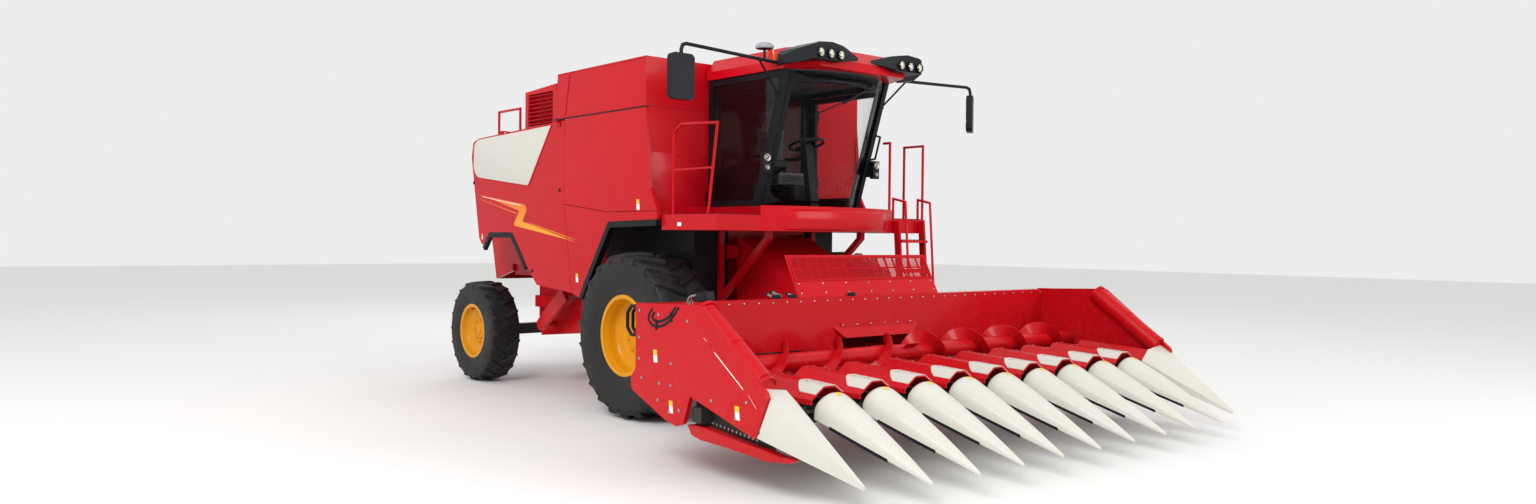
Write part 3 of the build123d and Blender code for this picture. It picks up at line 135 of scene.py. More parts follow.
world = bpy.data.worlds.new("studio")
scene.world = world
world.use_nodes = True
background = world.node_tree.nodes["Background"].inputs
background["Color"].default_value, background["Strength"].default_value = (1, 1, 1, 1), 0.85
scene.view_settings.view_transform = "Standard"         # keeps the enamel's red saturated
scene.view_settings.look = "None"

# %% [markdown]
# ## Finishes
# A farm machine has few materials: sprayed enamel on steel sheet, black moulded plastic, rubber,
# plated steel and tinted glass. Each finish starts from the common name of the real material.
# Patterns read object coordinates, which are metres on the machine, so a scale of 1 / 0.006
# makes grains of 6 mm.

# %% Colours and nodes
def colour(code):
    """An sRGB hex colour as linear numbers."""
    channels = [int(code[i:i + 2], 16) / 255 for i in (1, 3, 5)]
    return [c / 12.92 if c <= 0.04045 else ((c + 0.055) / 1.055) ** 2.4 for c in channels] + [1]


def add(tree, kind, inputs, **settings):
    """Add a node: its inputs are values or other nodes' sockets, by name or number."""
    made = tree.nodes.new(kind)
    for name, value in settings.items():
        setattr(made, name, value)
    for name, value in inputs.items():
        if isinstance(value, bpy.types.NodeSocket):
            tree.links.new(value, made.inputs[name])
        else:
            made.inputs[name].default_value = value
    return made


class Finish:
    """A new material: plain numbers on its main shader, and nodes laid over its object coordinates."""

    def __init__(self, name, **values):
        self.material = bpy.data.materials.new(name)
        self.material.use_nodes = True
        self.tree = self.material.node_tree
        self.shader = self.tree.nodes["Principled BSDF"]
        for socket, value in values.items():
            self.shader.inputs[socket.replace("_", " ")].default_value = value
        self.place = add(self.tree, "ShaderNodeTexCoord", {}).outputs["Object"]

    def noise(self, scale, detail, roughness=0.5):
        """Clouds whose value runs from 0 to 1."""
        values = {"Vector": self.place, "Scale": scale, "Detail": detail, "Roughness": roughness}
        return add(self.tree, "ShaderNodeTexNoise", values).outputs["Fac"]

    def height(self):
        """Metres above the ground."""
        return add(self.tree, "ShaderNodeSeparateXYZ", {"Vector": self.place}).outputs["Z"]

    def ranged(self, value, start, end, low, high):
        """A value that runs from start to end, made to run from low to high."""
        values = {"Value": value, "From Min": start, "From Max": end, "To Min": low, "To Max": high}
        return add(self.tree, "ShaderNodeMapRange", values).outputs[0]

    def sum(self, operation, one, other):
        """Two values added, multiplied or raised."""
        return add(self.tree, "ShaderNodeMath", {0: one, 1: other}, operation=operation).outputs[0]

    def mix(self, share, one, other):
        """Two colours mixed, each a hex code or a socket."""
        one, other = (colour(c) if isinstance(c, str) else c for c in (one, other))
        values = {"Factor": share, "A": one, "B": other}
        return add(self.tree, "ShaderNodeMix", values, data_type="RGBA").outputs["Result"]

    def bump(self, height, strength, distance, **under):
        """A relief of some metres, perhaps over another one."""
        values = {"Height": height, "Strength": strength, "Distance": distance, **under}
        return add(self.tree, "ShaderNodeBump", values).outputs[0]

    def feed(self, **sockets):
        """Lead values into the main shader; the material is then finished."""
        for name, value in sockets.items():
            self.tree.links.new(value, self.shader.inputs[name.replace("_", " ")])
        return self.material


# %% [markdown]
# ### Sprayed enamel
# Two-pack enamel is sprayed over pressed steel sheet. Three things give it away: the sheet
# is never quite flat, so reflections swim over a hand's width; the coat has a fine orange peel; and
# dust settles on it, most near the ground. All three are noise at their own scale.

# %% Enamel
SHEET_WAVE = 0.45           # metres between the sheet's shallow waves
ORANGE_PEEL = 0.012         # real peel is 2 mm, drawn coarser so that it shows
DUST_TOP = 1.6              # height at which the ground dust has faded


def enamel(name, fresh, faded, dust, dust_share):
    """Sprayed enamel that fades a little in patches and is dusty low down."""
    made = Finish(name, Coat_Weight=0.08, Coat_Roughness=0.08, IOR=1.24)
    waves = made.noise(1 / SHEET_WAVE, 1.0)
    peel = made.noise(1 / ORANGE_PEEL, 2.0)
    tone = made.mix(made.noise(0.9, 5.0, 0.6), fresh, faded)
    low = made.ranged(made.height(), 0.0, DUST_TOP, 1.0, 0.08)
    specks = made.ranged(made.noise(14.0, 8.0, 0.7), 0.42, 0.75, 0.0, dust_share)
    film = made.sum("MULTIPLY", low, specks)
    return made.feed(
        Base_Color=made.mix(film, tone, dust),
        Roughness=made.ranged(film, 0.0, 0.35, 0.28, 0.62),
        Normal=made.bump(peel, 0.12, 0.0006, Normal=made.bump(waves, 0.35, 0.01)),
    )


red_enamel = enamel("red_enamel", "#C4081A", "#B20614", "#9A7458", 0.16)
pale_enamel = enamel("pale_enamel", "#D2D1C8", "#C8C6BC", "#A98F6B", 0.14)
yellow_enamel = enamel("yellow_enamel", "#DE9A12", "#CC860A", "#A8875C", 0.2)
print("enamels:", red_enamel.name, pale_enamel.name, yellow_enamel.name)

# %% [markdown]
# ### Moulded plastic, iron and plated steel
# The black trim is injection-moulded ABS with a spark-eroded grain, so its highlight is broad and
# grey. Dark iron is a thin black dip paint on castings and chains. Zinc plating is a metal with
# cloudy crystals, which change its roughness and hardly its colour.

# %% Plastic and metals
def grained(name, base, worn, grain, depth, roughness, metallic=0.0, ior=1.5):
    """A part with a fine cast or moulded grain and cloudy wear."""
    made = Finish(name, Metallic=metallic, IOR=ior)
    clouds = made.noise(3.0, 6.0, 0.65)
    tone = made.mix(clouds, base, worn)
    rough = made.ranged(clouds, 0.3, 0.7, *roughness)
    cells = add(made.tree, "ShaderNodeTexVoronoi", {"Vector": made.place, "Scale": 1 / grain}).outputs["Distance"]
    return made.feed(Base_Color=tone, Roughness=rough, Normal=made.bump(cells, 0.4, depth))


black_trim = grained("black_trim", "#0A0D12", "#15191F", 0.004, 0.0003, (0.38, 0.55), ior=1.28)
dark_iron = grained("dark_iron", "#232426", "#3A3733", 0.006, 0.0006, (0.42, 0.7), metallic=0.3)
bright_steel = grained("bright_steel", "#B9BCBF", "#8D9093", 0.008, 0.0002, (0.22, 0.42), metallic=1.0)
blue_box = grained("terminal_plastic", "#3B4046", "#4A5058", 0.004, 0.0002, (0.4, 0.5))

# %% [markdown]
# ### Tyre rubber
# Carbon-black rubber is a very dark grey that never looks wet. Soil dries in the tread first, so the
# dust is strongest on the ground side and in large patches, and the sidewall keeps its sheen.

# %% Rubber
RUBBER_PORE = 0.007         # metres


def rubber(name):
    """Black rubber with dry soil in patches."""
    made = Finish(name, IOR=1.4)
    soil = made.ranged(made.noise(4.5, 9.0, 0.72), 0.45, 0.8, 0.0, 0.55)
    tone = made.mix(soil, "#131416", "#3E3831")
    rough = made.ranged(soil, 0.0, 0.5, 0.5, 0.9)
    pores = made.noise(1 / RUBBER_PORE, 4.0)
    return made.feed(Base_Color=tone, Roughness=rough, Normal=made.bump(pores, 0.3, 0.0012))


tyre_rubber = rubber("tyre_rubber")

# %% [markdown]
# ### Glass and lamps
# Cab glass is body-tinted float glass: what is behind it is seen, but dimmed to a grey-green. A pane
# is thin, so it needn't bend light: each face is partly see-through, less so at a slant, where the
# gloss takes over. Lenses are thick and do bend light.

# %% Glass
def smeared(made, low, high):
    """The roughness of wiped glass: between two values, in faint smears."""
    return made.ranged(made.noise(5.0, 6.0), 0.45, 0.8, low, high)


def clear(name, tint, roughness):
    """A thick clear lens: its colour is what one face lets through."""
    made = Finish(name, Transmission_Weight=1.0, IOR=1.58, Base_Color=colour(tint))
    return made.feed(Roughness=smeared(made, roughness, roughness + 0.015))


def pane(name, tint, cover):
    """Sheet glass: its tint, and how much one face hides head-on."""
    made = Finish(name, IOR=1.5, Base_Color=colour(tint))
    slant = add(made.tree, "ShaderNodeLayerWeight", {"Blend": 0.5}).outputs["Facing"]
    hide = made.ranged(made.sum("POWER", slant, 5.0), 0.0, 1.0, cover, 1.0)
    return made.feed(Alpha=hide, Roughness=smeared(made, 0.02, 0.1))


tinted_glass = pane("tinted_glass", "#0A0E10", 0.42)
screen_glass = pane("screen_glass", "#0C1113", 0.05)
lamp_lens = clear("lamp_lens", "#F4F2EA", 0.02)
amber_lens = clear("amber_lens", "#FF8A14", 0.1)
red_lens = grained("red_lens", "#C40D10", "#8E0709", 0.008, 0.0005, (0.08, 0.2))

mirror_glass = Finish("mirror_glass", Metallic=1.0, Roughness=0.03, Base_Color=colour("#D5DADC")).material
reflector = Finish("lamp_reflector", Metallic=1.0, Roughness=0.12, Base_Color=colour("#F2EEE6")).material

# %% [markdown]
# ### Seat cloth
# The driver's seat has a hard-wearing flat weave. Two crossed waves at the thread spacing make
# it, drawn at 6 mm because real 1 mm threads would vanish at this size.

# %% Cloth
def weave(name, dark, pale, spacing):
    """Cloth of two crossed sets of threads."""
    made = Finish(name, Sheen_Weight=0.4, Sheen_Roughness=0.5, Roughness=0.92)
    warp, weft = (
        add(made.tree, "ShaderNodeTexWave", {"Vector": made.place, "Scale": 0.5 / spacing, "Distortion": 0.6},
            bands_direction=way).outputs["Fac"] for way in "XY"
    )
    threads = made.sum("MULTIPLY", warp, weft)
    return made.feed(Base_Color=made.mix(threads, dark, pale), Normal=made.bump(threads, 0.6, 0.0015))


seat_fabric = weave("seat_fabric", "#202327", "#4A4E55", 0.006)

# %% [markdown]
# ### Dress the solids
# Each solid carries slots named for its finish, so one loop dresses them all.

# %% Give each solid its finish
def plain_name(material):
    """A material's name without the number that Blender adds to a name in use."""
    return material.name.split(".")[0]


FINISHES = {plain_name(finish): finish for finish in (
    red_enamel, black_trim, pale_enamel, dark_iron, bright_steel, tyre_rubber, yellow_enamel, tinted_glass,
    seat_fabric, lamp_lens, amber_lens, red_lens,
)}
used = set()
for part in NODES.values():
    for socket in part.material_slots:
        key = plain_name(socket.material)
        socket.material = FINISHES[key]
        used.add(key)
print("finishes on the solids:", sorted(used))

floor_mesh.materials.append(Finish("studio_floor", Roughness=0.85, Base_Color=colour("#E8E8E6")).material)

# %% [markdown]
# ## Making pieces
# Every piece ends as a plain mesh whose object sits at the origin, riding on the body that it
# moves with. These helpers do what every piece needs: they build faces from rows of points, turn
# a profile round an axle, cut a plate, and bend a tube.

# %% Helpers for pieces
SMOOTH_ANGLE = math.radians(32)


def keep(name, mesh, finish, body):
    """A mesh, or several joined, as a finished piece on a body. Its slot is named for the finish."""
    if not isinstance(mesh, bpy.types.Mesh):
        mesh = joined(mesh)
    mesh.name = name
    mesh.polygons.foreach_set("use_smooth", [True] * len(mesh.polygons))
    mesh.set_sharp_from_angle(angle=SMOOTH_ANGLE)
    mesh.materials.clear()
    mesh.materials.append(finish)
    made = bpy.data.objects.new(name, mesh)
    scene.collection.objects.link(made)
    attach(made, body)
    return made


def mesh_of(build):
    """The mesh that a function draws in a fresh bmesh, merged and with its faces outwards."""
    bm = bmesh.new()
    build(bm)
    bmesh.ops.remove_doubles(bm, verts=bm.verts, dist=1e-6)
    bmesh.ops.recalc_face_normals(bm, faces=bm.faces)
    mesh = bpy.data.meshes.new("piece")
    bm.to_mesh(mesh)
    bm.free()
    return mesh


def net(bm, rows, closed_row=False, closed_rows=False, caps=False):
    """Quads between rows of points, each row as long as the next."""
    points = [[bm.verts.new(p) for p in row] for row in rows]
    if closed_rows:
        points.append(points[0])
    for one, two in zip(points, points[1:]):
        count = len(one)
        for i in range(count if closed_row else count - 1):
            j = (i + 1) % count
            bm.faces.new((one[i], one[j], two[j], two[i]))
    if caps:
        bm.faces.new(points[0])
        bm.faces.new(points[-1])


def swept(rows):
    """A closed section carried along rows of points, with a cap at each end."""
    return mesh_of(lambda bm: net(bm, rows, closed_row=True, caps=True))


def ringed(rows):
    """A closed section carried right round, so that its last row meets its first."""
    return mesh_of(lambda bm: net(bm, rows, closed_row=True, closed_rows=True))


def turned(profile, centre, steps):
    """A closed profile of (x, radius) turned round an axle along X, through a centre."""
    turns = [2 * math.pi * i / steps for i in range(steps)]
    return ringed([[centre + Vector((x, -r * math.sin(t), r * math.cos(t))) for x, r in profile] for t in turns])


def span(side, one, other):
    """Two places along X on one side of the machine, the lower first."""
    return sorted((side * one, side * other))


def side_plate(side, points, one, other, soften=0.0):
    """A plate from (y, z) points that lies between two distances from the machine's middle."""
    return cut_plate(points, "x", *span(side, one, other), soften)


def oblong(low_u, high_u, low_v, high_v):
    """The four corners of an upright rectangle."""
    return [(low_u, low_v), (high_u, low_v), (high_u, high_v), (low_u, high_v)]


def cut_plate(points, axis, low, high, soften=0.0):
    """A plate from an outline of (u, v) points, between two places along an axis."""
    order = {"x": lambda u, v, w: (w, u, v), "y": lambda u, v, w: (u, w, v), "z": lambda u, v, w: (u, v, w)}[axis]

    def build(bm):
        rows = [[at(*order(u, v, w)) for u, v in points] for w in (low, high)]
        net(bm, rows, closed_row=True, caps=True)
        bmesh.ops.recalc_face_normals(bm, faces=bm.faces)
        if soften:
            bmesh.ops.bevel(bm, geom=bm.edges[:], offset=soften, segments=2, affect="EDGES", profile=0.6)

    return mesh_of(build)


def settled(made):
    """The plain mesh that an object's modifiers or curve come to."""
    bpy.context.view_layer.update()
    return bpy.data.meshes.new_from_object(made.evaluated_get(bpy.context.evaluated_depsgraph_get()))


def pipe(points, radius, smooth=False, sides=3, closed=False):
    """A round tube through places, straight between them or as one smooth curve."""
    line = bpy.data.curves.new("pipe", "CURVE")
    line.dimensions = "3D"
    line.bevel_depth, line.bevel_resolution, line.use_fill_caps = radius, sides, True
    spline = line.splines.new("NURBS" if smooth else "POLY")
    spline.points.add(len(points) - 1)
    for point, place in zip(spline.points, points):
        point.co = (*(place if isinstance(place, Vector) else at(*place)), 1)
    if smooth:
        spline.order_u = 3
        spline.use_endpoint_u = not closed
        line.resolution_u = 5
    spline.use_cyclic_u = closed
    holder = bpy.data.objects.new("pipe", line)
    scene.collection.objects.link(holder)
    mesh = settled(holder)
    bpy.data.objects.remove(holder)
    return mesh


def joined(meshes):
    """Several meshes as one."""
    bm = bmesh.new()
    for mesh in meshes:
        bm.from_mesh(mesh)
    mesh = bpy.data.meshes.new("joined")
    bm.to_mesh(mesh)
    bm.free()
    return mesh


def islands(node):
    """The boxes of the separate solids in one node, read from a merged copy of its mesh."""
    bm = bmesh.new()
    bm.from_mesh(NODES[node].data)
    bmesh.ops.remove_doubles(bm, verts=bm.verts, dist=1e-5)
    left, boxes = set(bm.verts), []
    while left:
        group, edge = [], [left.pop()]
        while edge:
            vert = edge.pop()
            group.append(vert.co.copy())
            for link in vert.link_edges:
                other = link.other_vert(vert)
                if other in left:
                    left.remove(other)
                    edge.append(other)
        boxes.append((
            Vector(min(p[i] for p in group) for i in range(3)), Vector(max(p[i] for p in group) for i in range(3)),
        ))
    bm.free()
    return sorted(boxes, key=lambda box: tuple(round(v, 3) for v in box[0]))


# %% [markdown]
# ## Geometry Nodes for what repeats
# Lugs, nuts, rivets and wires repeat by a rule, so a small tree places them. A tree is built in
# the script with named inputs, run once on a host mesh, and its result kept as a plain mesh: an
# export can't carry instances or modifiers.

# %% Run a tree
def run_tree(tree, host_mesh, **values):
    """The plain mesh that a tree makes of a host. Inputs are set by name; a mesh goes in as an object."""
    host = bpy.data.objects.new("host", host_mesh)
    scene.collection.objects.link(host)
    modifier = host.modifiers.new("tree", "NODES")
    modifier.node_group = tree
    helpers = [host]
    for socket in tree.interface.items_tree:
        if socket.in_out == "INPUT" and socket.name in values:
            value = values[socket.name]
            if isinstance(value, bpy.types.Mesh):
                value = bpy.data.objects.new("pattern", value)
                helpers.append(value)
            modifier[socket.identifier] = value
    mesh = settled(host)
    for helper in helpers:
        bpy.data.objects.remove(helper)
    return mesh


def new_tree(name, **sizes):
    """A tree with a geometry in and out and one named input for each size."""
    tree = bpy.data.node_groups.new(name, "GeometryNodeTree")
    tree.interface.new_socket("Geometry", in_out="INPUT", socket_type="NodeSocketGeometry")
    for label, kind in sizes.items():
        tree.interface.new_socket(label, in_out="INPUT", socket_type=kind)
    tree.interface.new_socket("Geometry", in_out="OUTPUT", socket_type="NodeSocketGeometry")
    start = tree.nodes.new("NodeGroupInput")
    end = tree.nodes.new("NodeGroupOutput")
    return tree, start.outputs, end.inputs


def finish_tree(tree, geometry, end, start):
    """Realize the instances and give them the material, as every tree here ends."""
    real = add(tree, "GeometryNodeRealizeInstances", {"Geometry": geometry})
    coated = add(tree, "GeometryNodeSetMaterial", {"Geometry": real.outputs[0], "Material": start["Finish"]})
    tree.links.new(coated.outputs[0], end["Geometry"])


def ring_tree():
    """Copies of one object turned round the X axis, joined to the host mesh."""
    tree, start, end = new_tree(
        "ring_of_copies", Copies="NodeSocketInt", Pattern="NodeSocketObject", Centre="NodeSocketVector",
        Finish="NodeSocketMaterial",
    )
    row = add(tree, "GeometryNodeMeshLine", {"Count": start["Copies"], "Offset": (0, 0, 0)}, mode="OFFSET")
    index = add(tree, "GeometryNodeInputIndex", {}).outputs[0]
    share = add(tree, "ShaderNodeMath", {0: index, 1: start["Copies"]}, operation="DIVIDE")
    turn = add(tree, "ShaderNodeMath", {0: share.outputs[0], 1: 2 * math.pi}, operation="MULTIPLY")
    angles = add(tree, "ShaderNodeCombineXYZ", {"X": turn.outputs[0]})
    pattern = add(tree, "GeometryNodeObjectInfo", {"Object": start["Pattern"]})
    copies = add(tree, "GeometryNodeInstanceOnPoints", {
        "Points": row.outputs[0], "Instance": pattern.outputs["Geometry"], "Rotation": angles.outputs[0],
    })
    placed = add(tree, "GeometryNodeTransform", {"Geometry": copies.outputs[0], "Translation": start["Centre"]})
    both = add(tree, "GeometryNodeJoinGeometry", {"Geometry": start["Geometry"]})
    tree.links.new(placed.outputs[0], both.inputs[0])
    finish_tree(tree, both.outputs[0], end, start)
    return tree


RING = ring_tree()
print("tree:", RING.name, "with", len(RING.nodes), "nodes")

# %% [markdown]
# ## Tyres
# A drive tyre is a wide rubber ring with slanted lugs in two rows, which meet in a V at the middle
# of the tread and step down over the shoulders. The carcass is a turned profile. One pair of lugs is
# drawn on the curved tread, and the ring tree turns it round the wheel.

# %% Tyre carcass and lugs
def bow(start, control, end, steps):
    """Points along a quadratic curve."""
    points = []
    for i in range(steps + 1):
        t = i / steps
        points.append(tuple(
            (1 - t) ** 2 * a + 2 * t * (1 - t) * b + t * t * c for a, b, c in zip(start, control, end)
        ))
    return points


def tyre_profile(half, radius, bead, lug):
    """(x, radius) points of a tyre's skin from its inner bead round to its outer one."""
    seat, shoulder, crown = 0.84 * half, radius - 0.22 * half, radius - lug
    belly = bead + 0.5 * (shoulder - bead)
    wall = bow((seat, bead), (1.08 * half, belly), (0.965 * half, shoulder - 0.1 * lug), 18)
    rings = {2: 0.006, 3: 0.006, 6: 0.002, 10: 0.0025, 11: 0.0025, 14: 0.002}     # moulded rings, by step
    wall = [(min(x + rings.get(i, 0), half), r) for i, (x, r) in enumerate(wall)]
    tread = bow((0.955 * half, shoulder), (0.9 * half, crown - 0.004), (0.62 * half, crown), 5)
    side = wall + tread + [(0.3 * half, crown + 0.004)]
    return [(-x, r) for x, r in side] + [(0, crown + 0.005)] + side[::-1]


LUG_STATIONS = [            # share of half width, of sweep and of thickness, and drop of the top
    (-0.05, 0, 0.8, 0.003), (0.1, 0.1, 0.95, 0), (0.3, 0.3, 1, 0.001), (0.5, 0.52, 1.05, 0.004),
    (0.7, 0.76, 1.15, 0.01), (0.84, 0.92, 1.3, 0.02), (0.93, 1, 1.42, 0.04), (0.975, 1.02, 1.45, 0.085),
    (0.985, 1.02, 1.35, 0.135),
]
DROP_HALF = 0.31            # half width of the tyre that the drops are given for


def lug_mesh(half, radius, lug, side, phase):
    """One lug: six-point sections along a slanted line on the tread and down the shoulder."""
    sweep, thick, last = 0.62 * half, 0.085 * half + 0.006, len(LUG_STATIONS) - 1
    rows = []
    for i, (out, along, wide, drop) in enumerate(LUG_STATIONS):
        ahead, behind = LUG_STATIONS[min(i + 1, last)], LUG_STATIONS[max(i - 1, 0)]
        line = Vector(((ahead[0] - behind[0]) * half, (ahead[1] - behind[1]) * sweep + 1e-4)).normalized()
        cross = Vector((-line.y, line.x))
        fall = drop * half / DROP_HALF
        top, base = radius - fall, radius - lug - 0.012 - 1.25 * fall
        section = ((1.35, base), (1, top - 0.006), (0.82, top), (-0.82, top), (-1, top - 0.006), (-1.35, base))
        row = []
        for share, height in section:
            x = min(out * half + cross.x * share * wide * thick, 0.992 * half)
            turn = -(along * sweep + cross.y * share * wide * thick) / radius + phase
            row.append((side * x, -height * math.sin(turn), height * math.cos(turn)))
        rows.append(row)
    return swept(rows)


def shoulder_rib(half, radius, side, phase, wide=0.006):
    """A fine moulded rib on the shoulder between two lugs."""
    section = ((0.97, -1), (1.0, -0.5), (1.0, 0.5), (0.97, 1))
    ends = ((radius - 0.36 * half, 0.995), (radius - 0.25 * half, 0.975))
    return swept([
        [(side * x * half * s, -r * math.sin(phase + t * wide), r * math.cos(phase + t * wide)) for s, t in section]
        for r, x in ends
    ])


def tyre(name, body, half, bead, lug, count):
    """A whole tyre: its skin, and its lugs by the ring tree."""
    centre = middle(name)
    radius = centre.z
    skin = turned(tyre_profile(half, radius, bead, lug), centre, 96)
    pitch = 2 * math.pi / count
    rows = ((1, 0), (-1, pitch / 2))
    pattern = [lug_mesh(half, radius, lug, side, phase) for side, phase in rows]
    pattern += [shoulder_rib(half, radius, side, phase + pitch * (0.55 + 0.09 * k)) for side, phase in rows
                for k in range(-2, 3)]
    mesh = run_tree(RING, skin, Copies=count, Pattern=joined(pattern), Centre=centre, Finish=tyre_rubber)
    made = keep(name.replace("tyre", "lugged_tyre"), mesh, tyre_rubber, body)
    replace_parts(made, name)
    return made


TYRES = {"front": (0.31, 0.406, 0.044, 22), "rear": (0.2, 0.33, 0.032, 20)}      # half width, bead, lug, lugs a side
for place, sizes in TYRES.items():
    for hand in SIDES:
        made = tyre(f"tyre_{place}_{hand}", f"{place}_wheel_{hand}", *sizes)
        print(made.name, len(made.data.polygons), "faces")

# %% [markdown]
# ## Rims
# A rim is rolled from one strip: a curled flange, a bead seat and a well. The disc is pressed, so
# its steps are rounded rings. A circle of nuts holds it to the axle's flange: ten in front, eight
# at the rear.

# %% Pressed rims with their nuts
def stud(radius, tall, sides=6, crown=0.55):
    """A low nut or rivet head that stands on z = 0."""
    rings = [(radius, 0.0), (radius, 0.62 * tall), (crown * radius, tall)]
    rows = [
        [(r * math.cos(2 * math.pi * i / sides), r * math.sin(2 * math.pi * i / sides), z) for i in range(sides)]
        for r, z in rings
    ]
    return swept(rows)


def moved(mesh, place, turn=(0, 0, 0)):
    """The mesh turned about the origin, then moved."""
    matrix = Matrix.Translation(place)
    for angle, axis in zip(turn, "XYZ"):
        matrix = matrix @ Matrix.Rotation(math.radians(angle), 4, axis)
    mesh.transform(matrix)
    return mesh


def rim_profile(wide, bead, flange, hub, disc):
    """(x, radius) points of a rim whose open side is towards +x, as one closed loop."""
    half, inside = 0.42 * wide, bead - 0.014
    lip, face, edge = half + 0.018, disc + 0.012, 0.62 * bead
    curl = [(lip + x, r) for x, r in (
        (-0.02, bead + 0.002), (-0.015, bead + 0.016), (-0.012, flange - 0.004), (-0.006, flange), (0, flange - 0.005),
        (0.001, flange - 0.014), (-0.003, inside + 0.004),
    )]
    barrel = [(lip + x, inside - drop) for x, drop in ((-0.045, 0.002), (-0.06, 0.01), (-0.085, 0.012))]
    barrel += [(face + 0.084, inside - 0.012), (face + 0.07, inside - 0.018)]
    dish = [(face + x, edge + share * (inside - edge)) for x, share in (
        (0.046, 0.72), (0.032, 0.5), (0.03, 0.42), (0.008, 0.06), (0.004, 0),
    )]
    dish += [(face + x, r) for x, r in (
        (0.004, edge - 0.006), (0.009, edge - 0.012), (0.009, hub + 0.016), (0.004, hub + 0.009), (0.003, hub + 0.001),
        (0.02, hub), (0.031, hub - 0.012), (0.034, hub - 0.024), (0.034, 0.56 * hub), (0.044, 0.53 * hub),
        (0.048, 0.45 * hub), (0.05, 0.002), (-0.1, 0.002), (-0.1, hub), (-0.024, hub), (0.03, inside),
    )]
    far = [(-x, r) for x, r in [(lip, inside)] + curl[::-1][1:]]
    return curl + barrel + dish + far + [(-half, bead), (half, bead)]


RIMS = {                    # width, bead and flange radius, hub radius, disc offset, nuts, nut circle, nut size
    "front": (0.62, 0.4057, 0.44, 0.17, 0.04, 10, 0.208, 0.017),
    "rear": (0.4, 0.3297, 0.365, 0.11, 0.04, 8, 0.153, 0.014),
}
for place, (wide, bead, flange, hub, disc, nuts, circle, size) in RIMS.items():
    for hand, side in SIDES.items():
        name, wheel = f"rim_{place}_{hand}", f"{place}_wheel_{hand}"
        centre = middle(f"tyre_{place}_{hand}")
        skin = turned([(side * x, r) for x, r in rim_profile(wide, bead, flange, hub, disc)], centre, 96)
        spot, turn = (side * (disc + 0.02), 0, circle), (0, side * 90, 0)
        nut = joined([moved(stud(size, 0.02), spot, turn), moved(stud(0.4 * size, 0.034, 10), spot, turn)])
        mesh = run_tree(RING, skin, Copies=nuts, Pattern=nut, Centre=centre, Finish=yellow_enamel)
        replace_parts(keep(f"pressed_{name}", mesh, yellow_enamel, wheel), name)
        valve = [centre + Vector((side * (disc + out), 0, bead - drop)) for out, drop in ((0.11, 0.03), (0.15, 0.045))]
        keep(f"valve_{place}_{hand}", pipe(valve, 0.006), dark_iron, wheel)
print("rims:", len(RIMS) * len(SIDES))

# %% [markdown]
# ## Rivets and bolts by a tree
# The heads that join sheet metal stand in rows. A second tree sets a pattern on each point of a
# host mesh, so a row is only its list of points.

# %% A tree that sets heads on points
def heads_tree():
    """Copies of one object on the host's points."""
    tree, start, end = new_tree(
        "heads_on_points", Pattern="NodeSocketObject", Turn="NodeSocketVector", Finish="NodeSocketMaterial",
    )
    pattern = add(tree, "GeometryNodeObjectInfo", {"Object": start["Pattern"]})
    spots = add(tree, "GeometryNodeMeshToPoints", {"Mesh": start["Geometry"]})
    copies = add(tree, "GeometryNodeInstanceOnPoints", {
        "Points": spots.outputs[0], "Instance": pattern.outputs["Geometry"], "Rotation": start["Turn"],
    })
    finish_tree(tree, copies.outputs[0], end, start)
    return tree


HEADS = heads_tree()
TURNS = {"+z": (0, 0, 0), "-y": (math.pi / 2, 0, 0), "+x": (0, math.pi / 2, 0), "-x": (0, -math.pi / 2, 0)}


def heads(points, facing, radius, tall, finish, sides=8):
    """A mesh of rivet or bolt heads at machine places, all facing one way."""
    host = bpy.data.meshes.new("spots")
    host.from_pydata([at(*p) for p in points], [], [])
    return run_tree(HEADS, host, Pattern=stud(radius, tall, sides), Turn=TURNS[facing], Finish=finish)


def keep_heads(name, points, facing, radius, tall, finish, body, sides=8):
    """A row of heads as a finished piece."""
    return keep(name, heads(points, facing, radius, tall, finish, sides), finish, body)


def between(start, end, count):
    """Evenly spaced points from one place to another, both included."""
    return [tuple(a + (b - a) * i / (count - 1) for a, b in zip(start, end)) for i in range(count)]


HEADER_HALF, ROWS, SPACING = 2.92, 10, 0.54
SHEET_BOLTS = [             # (y, z) on each end sheet
    (-2.02, 1.33), (-2.02, 1.1), (-2.02, 0.92), (-2.3, 1.31), (-2.7, 1.28), (-2.3, 0.6), (-2.46, 0.52),
    (-2.6, 0.55), (-3.02, 0.68), (-3.32, 0.58), (-3.45, 0.72), (-2.48, 0.92), (-2.32, 0.74), (-2.48, 0.74),
    (-2.06, 0.76),
]
WALL_BOLTS = [              # from x, to x, y, z and count of each row on the back wall
    (-2.84, 2.84, -2.0305, 1.345, 33), (-2.84, -0.62, -2.0305, 0.74, 10), (0.62, 2.84, -2.0305, 0.74, 10),
]
bolts = [
    heads([(side * (HEADER_HALF + 0.0002), *p) for p in SHEET_BOLTS], OUTWARD[side], 0.014, 0.008, bright_steel)
    for side in BOTH
]
bolts += [heads(between((a, y, z), (b, y, z), n), "-y", 0.01, 0.006, bright_steel) for a, b, y, z, n in WALL_BOLTS]
bolts.append(heads(between((-0.5, -2.0425, 1.095), (0.5, -2.0425, 1.095), 6), "-y", 0.01, 0.006, bright_steel))
made = keep("header_bolts", bolts, bright_steel, "header")
print("header bolts:", len(made.data.polygons), "faces")

# %% [markdown]
# ## The snouts
# The snouts are rotomoulded: a domed back that falls to a long point, pale plastic with a thick
# skin. A crescent of the same plastic is riveted to each hood where the snout's hinge lies, dark
# rubber strips run along the lower edges, and each dome carries a small blank yellow mark.

# %% Moulded snouts
SNOUT_BACK, SNOUT_TIP = -3.56, -4.62
SNOUT_ENDS = ((0.19, 0.014), (0.538, 0.2), (0.592, 0.206), (0.766, 0.226))    # half, bottom, side, top: back and tip
SNOUT_X = [(row - ROWS / 2) * SPACING for row in range(1, ROWS)]


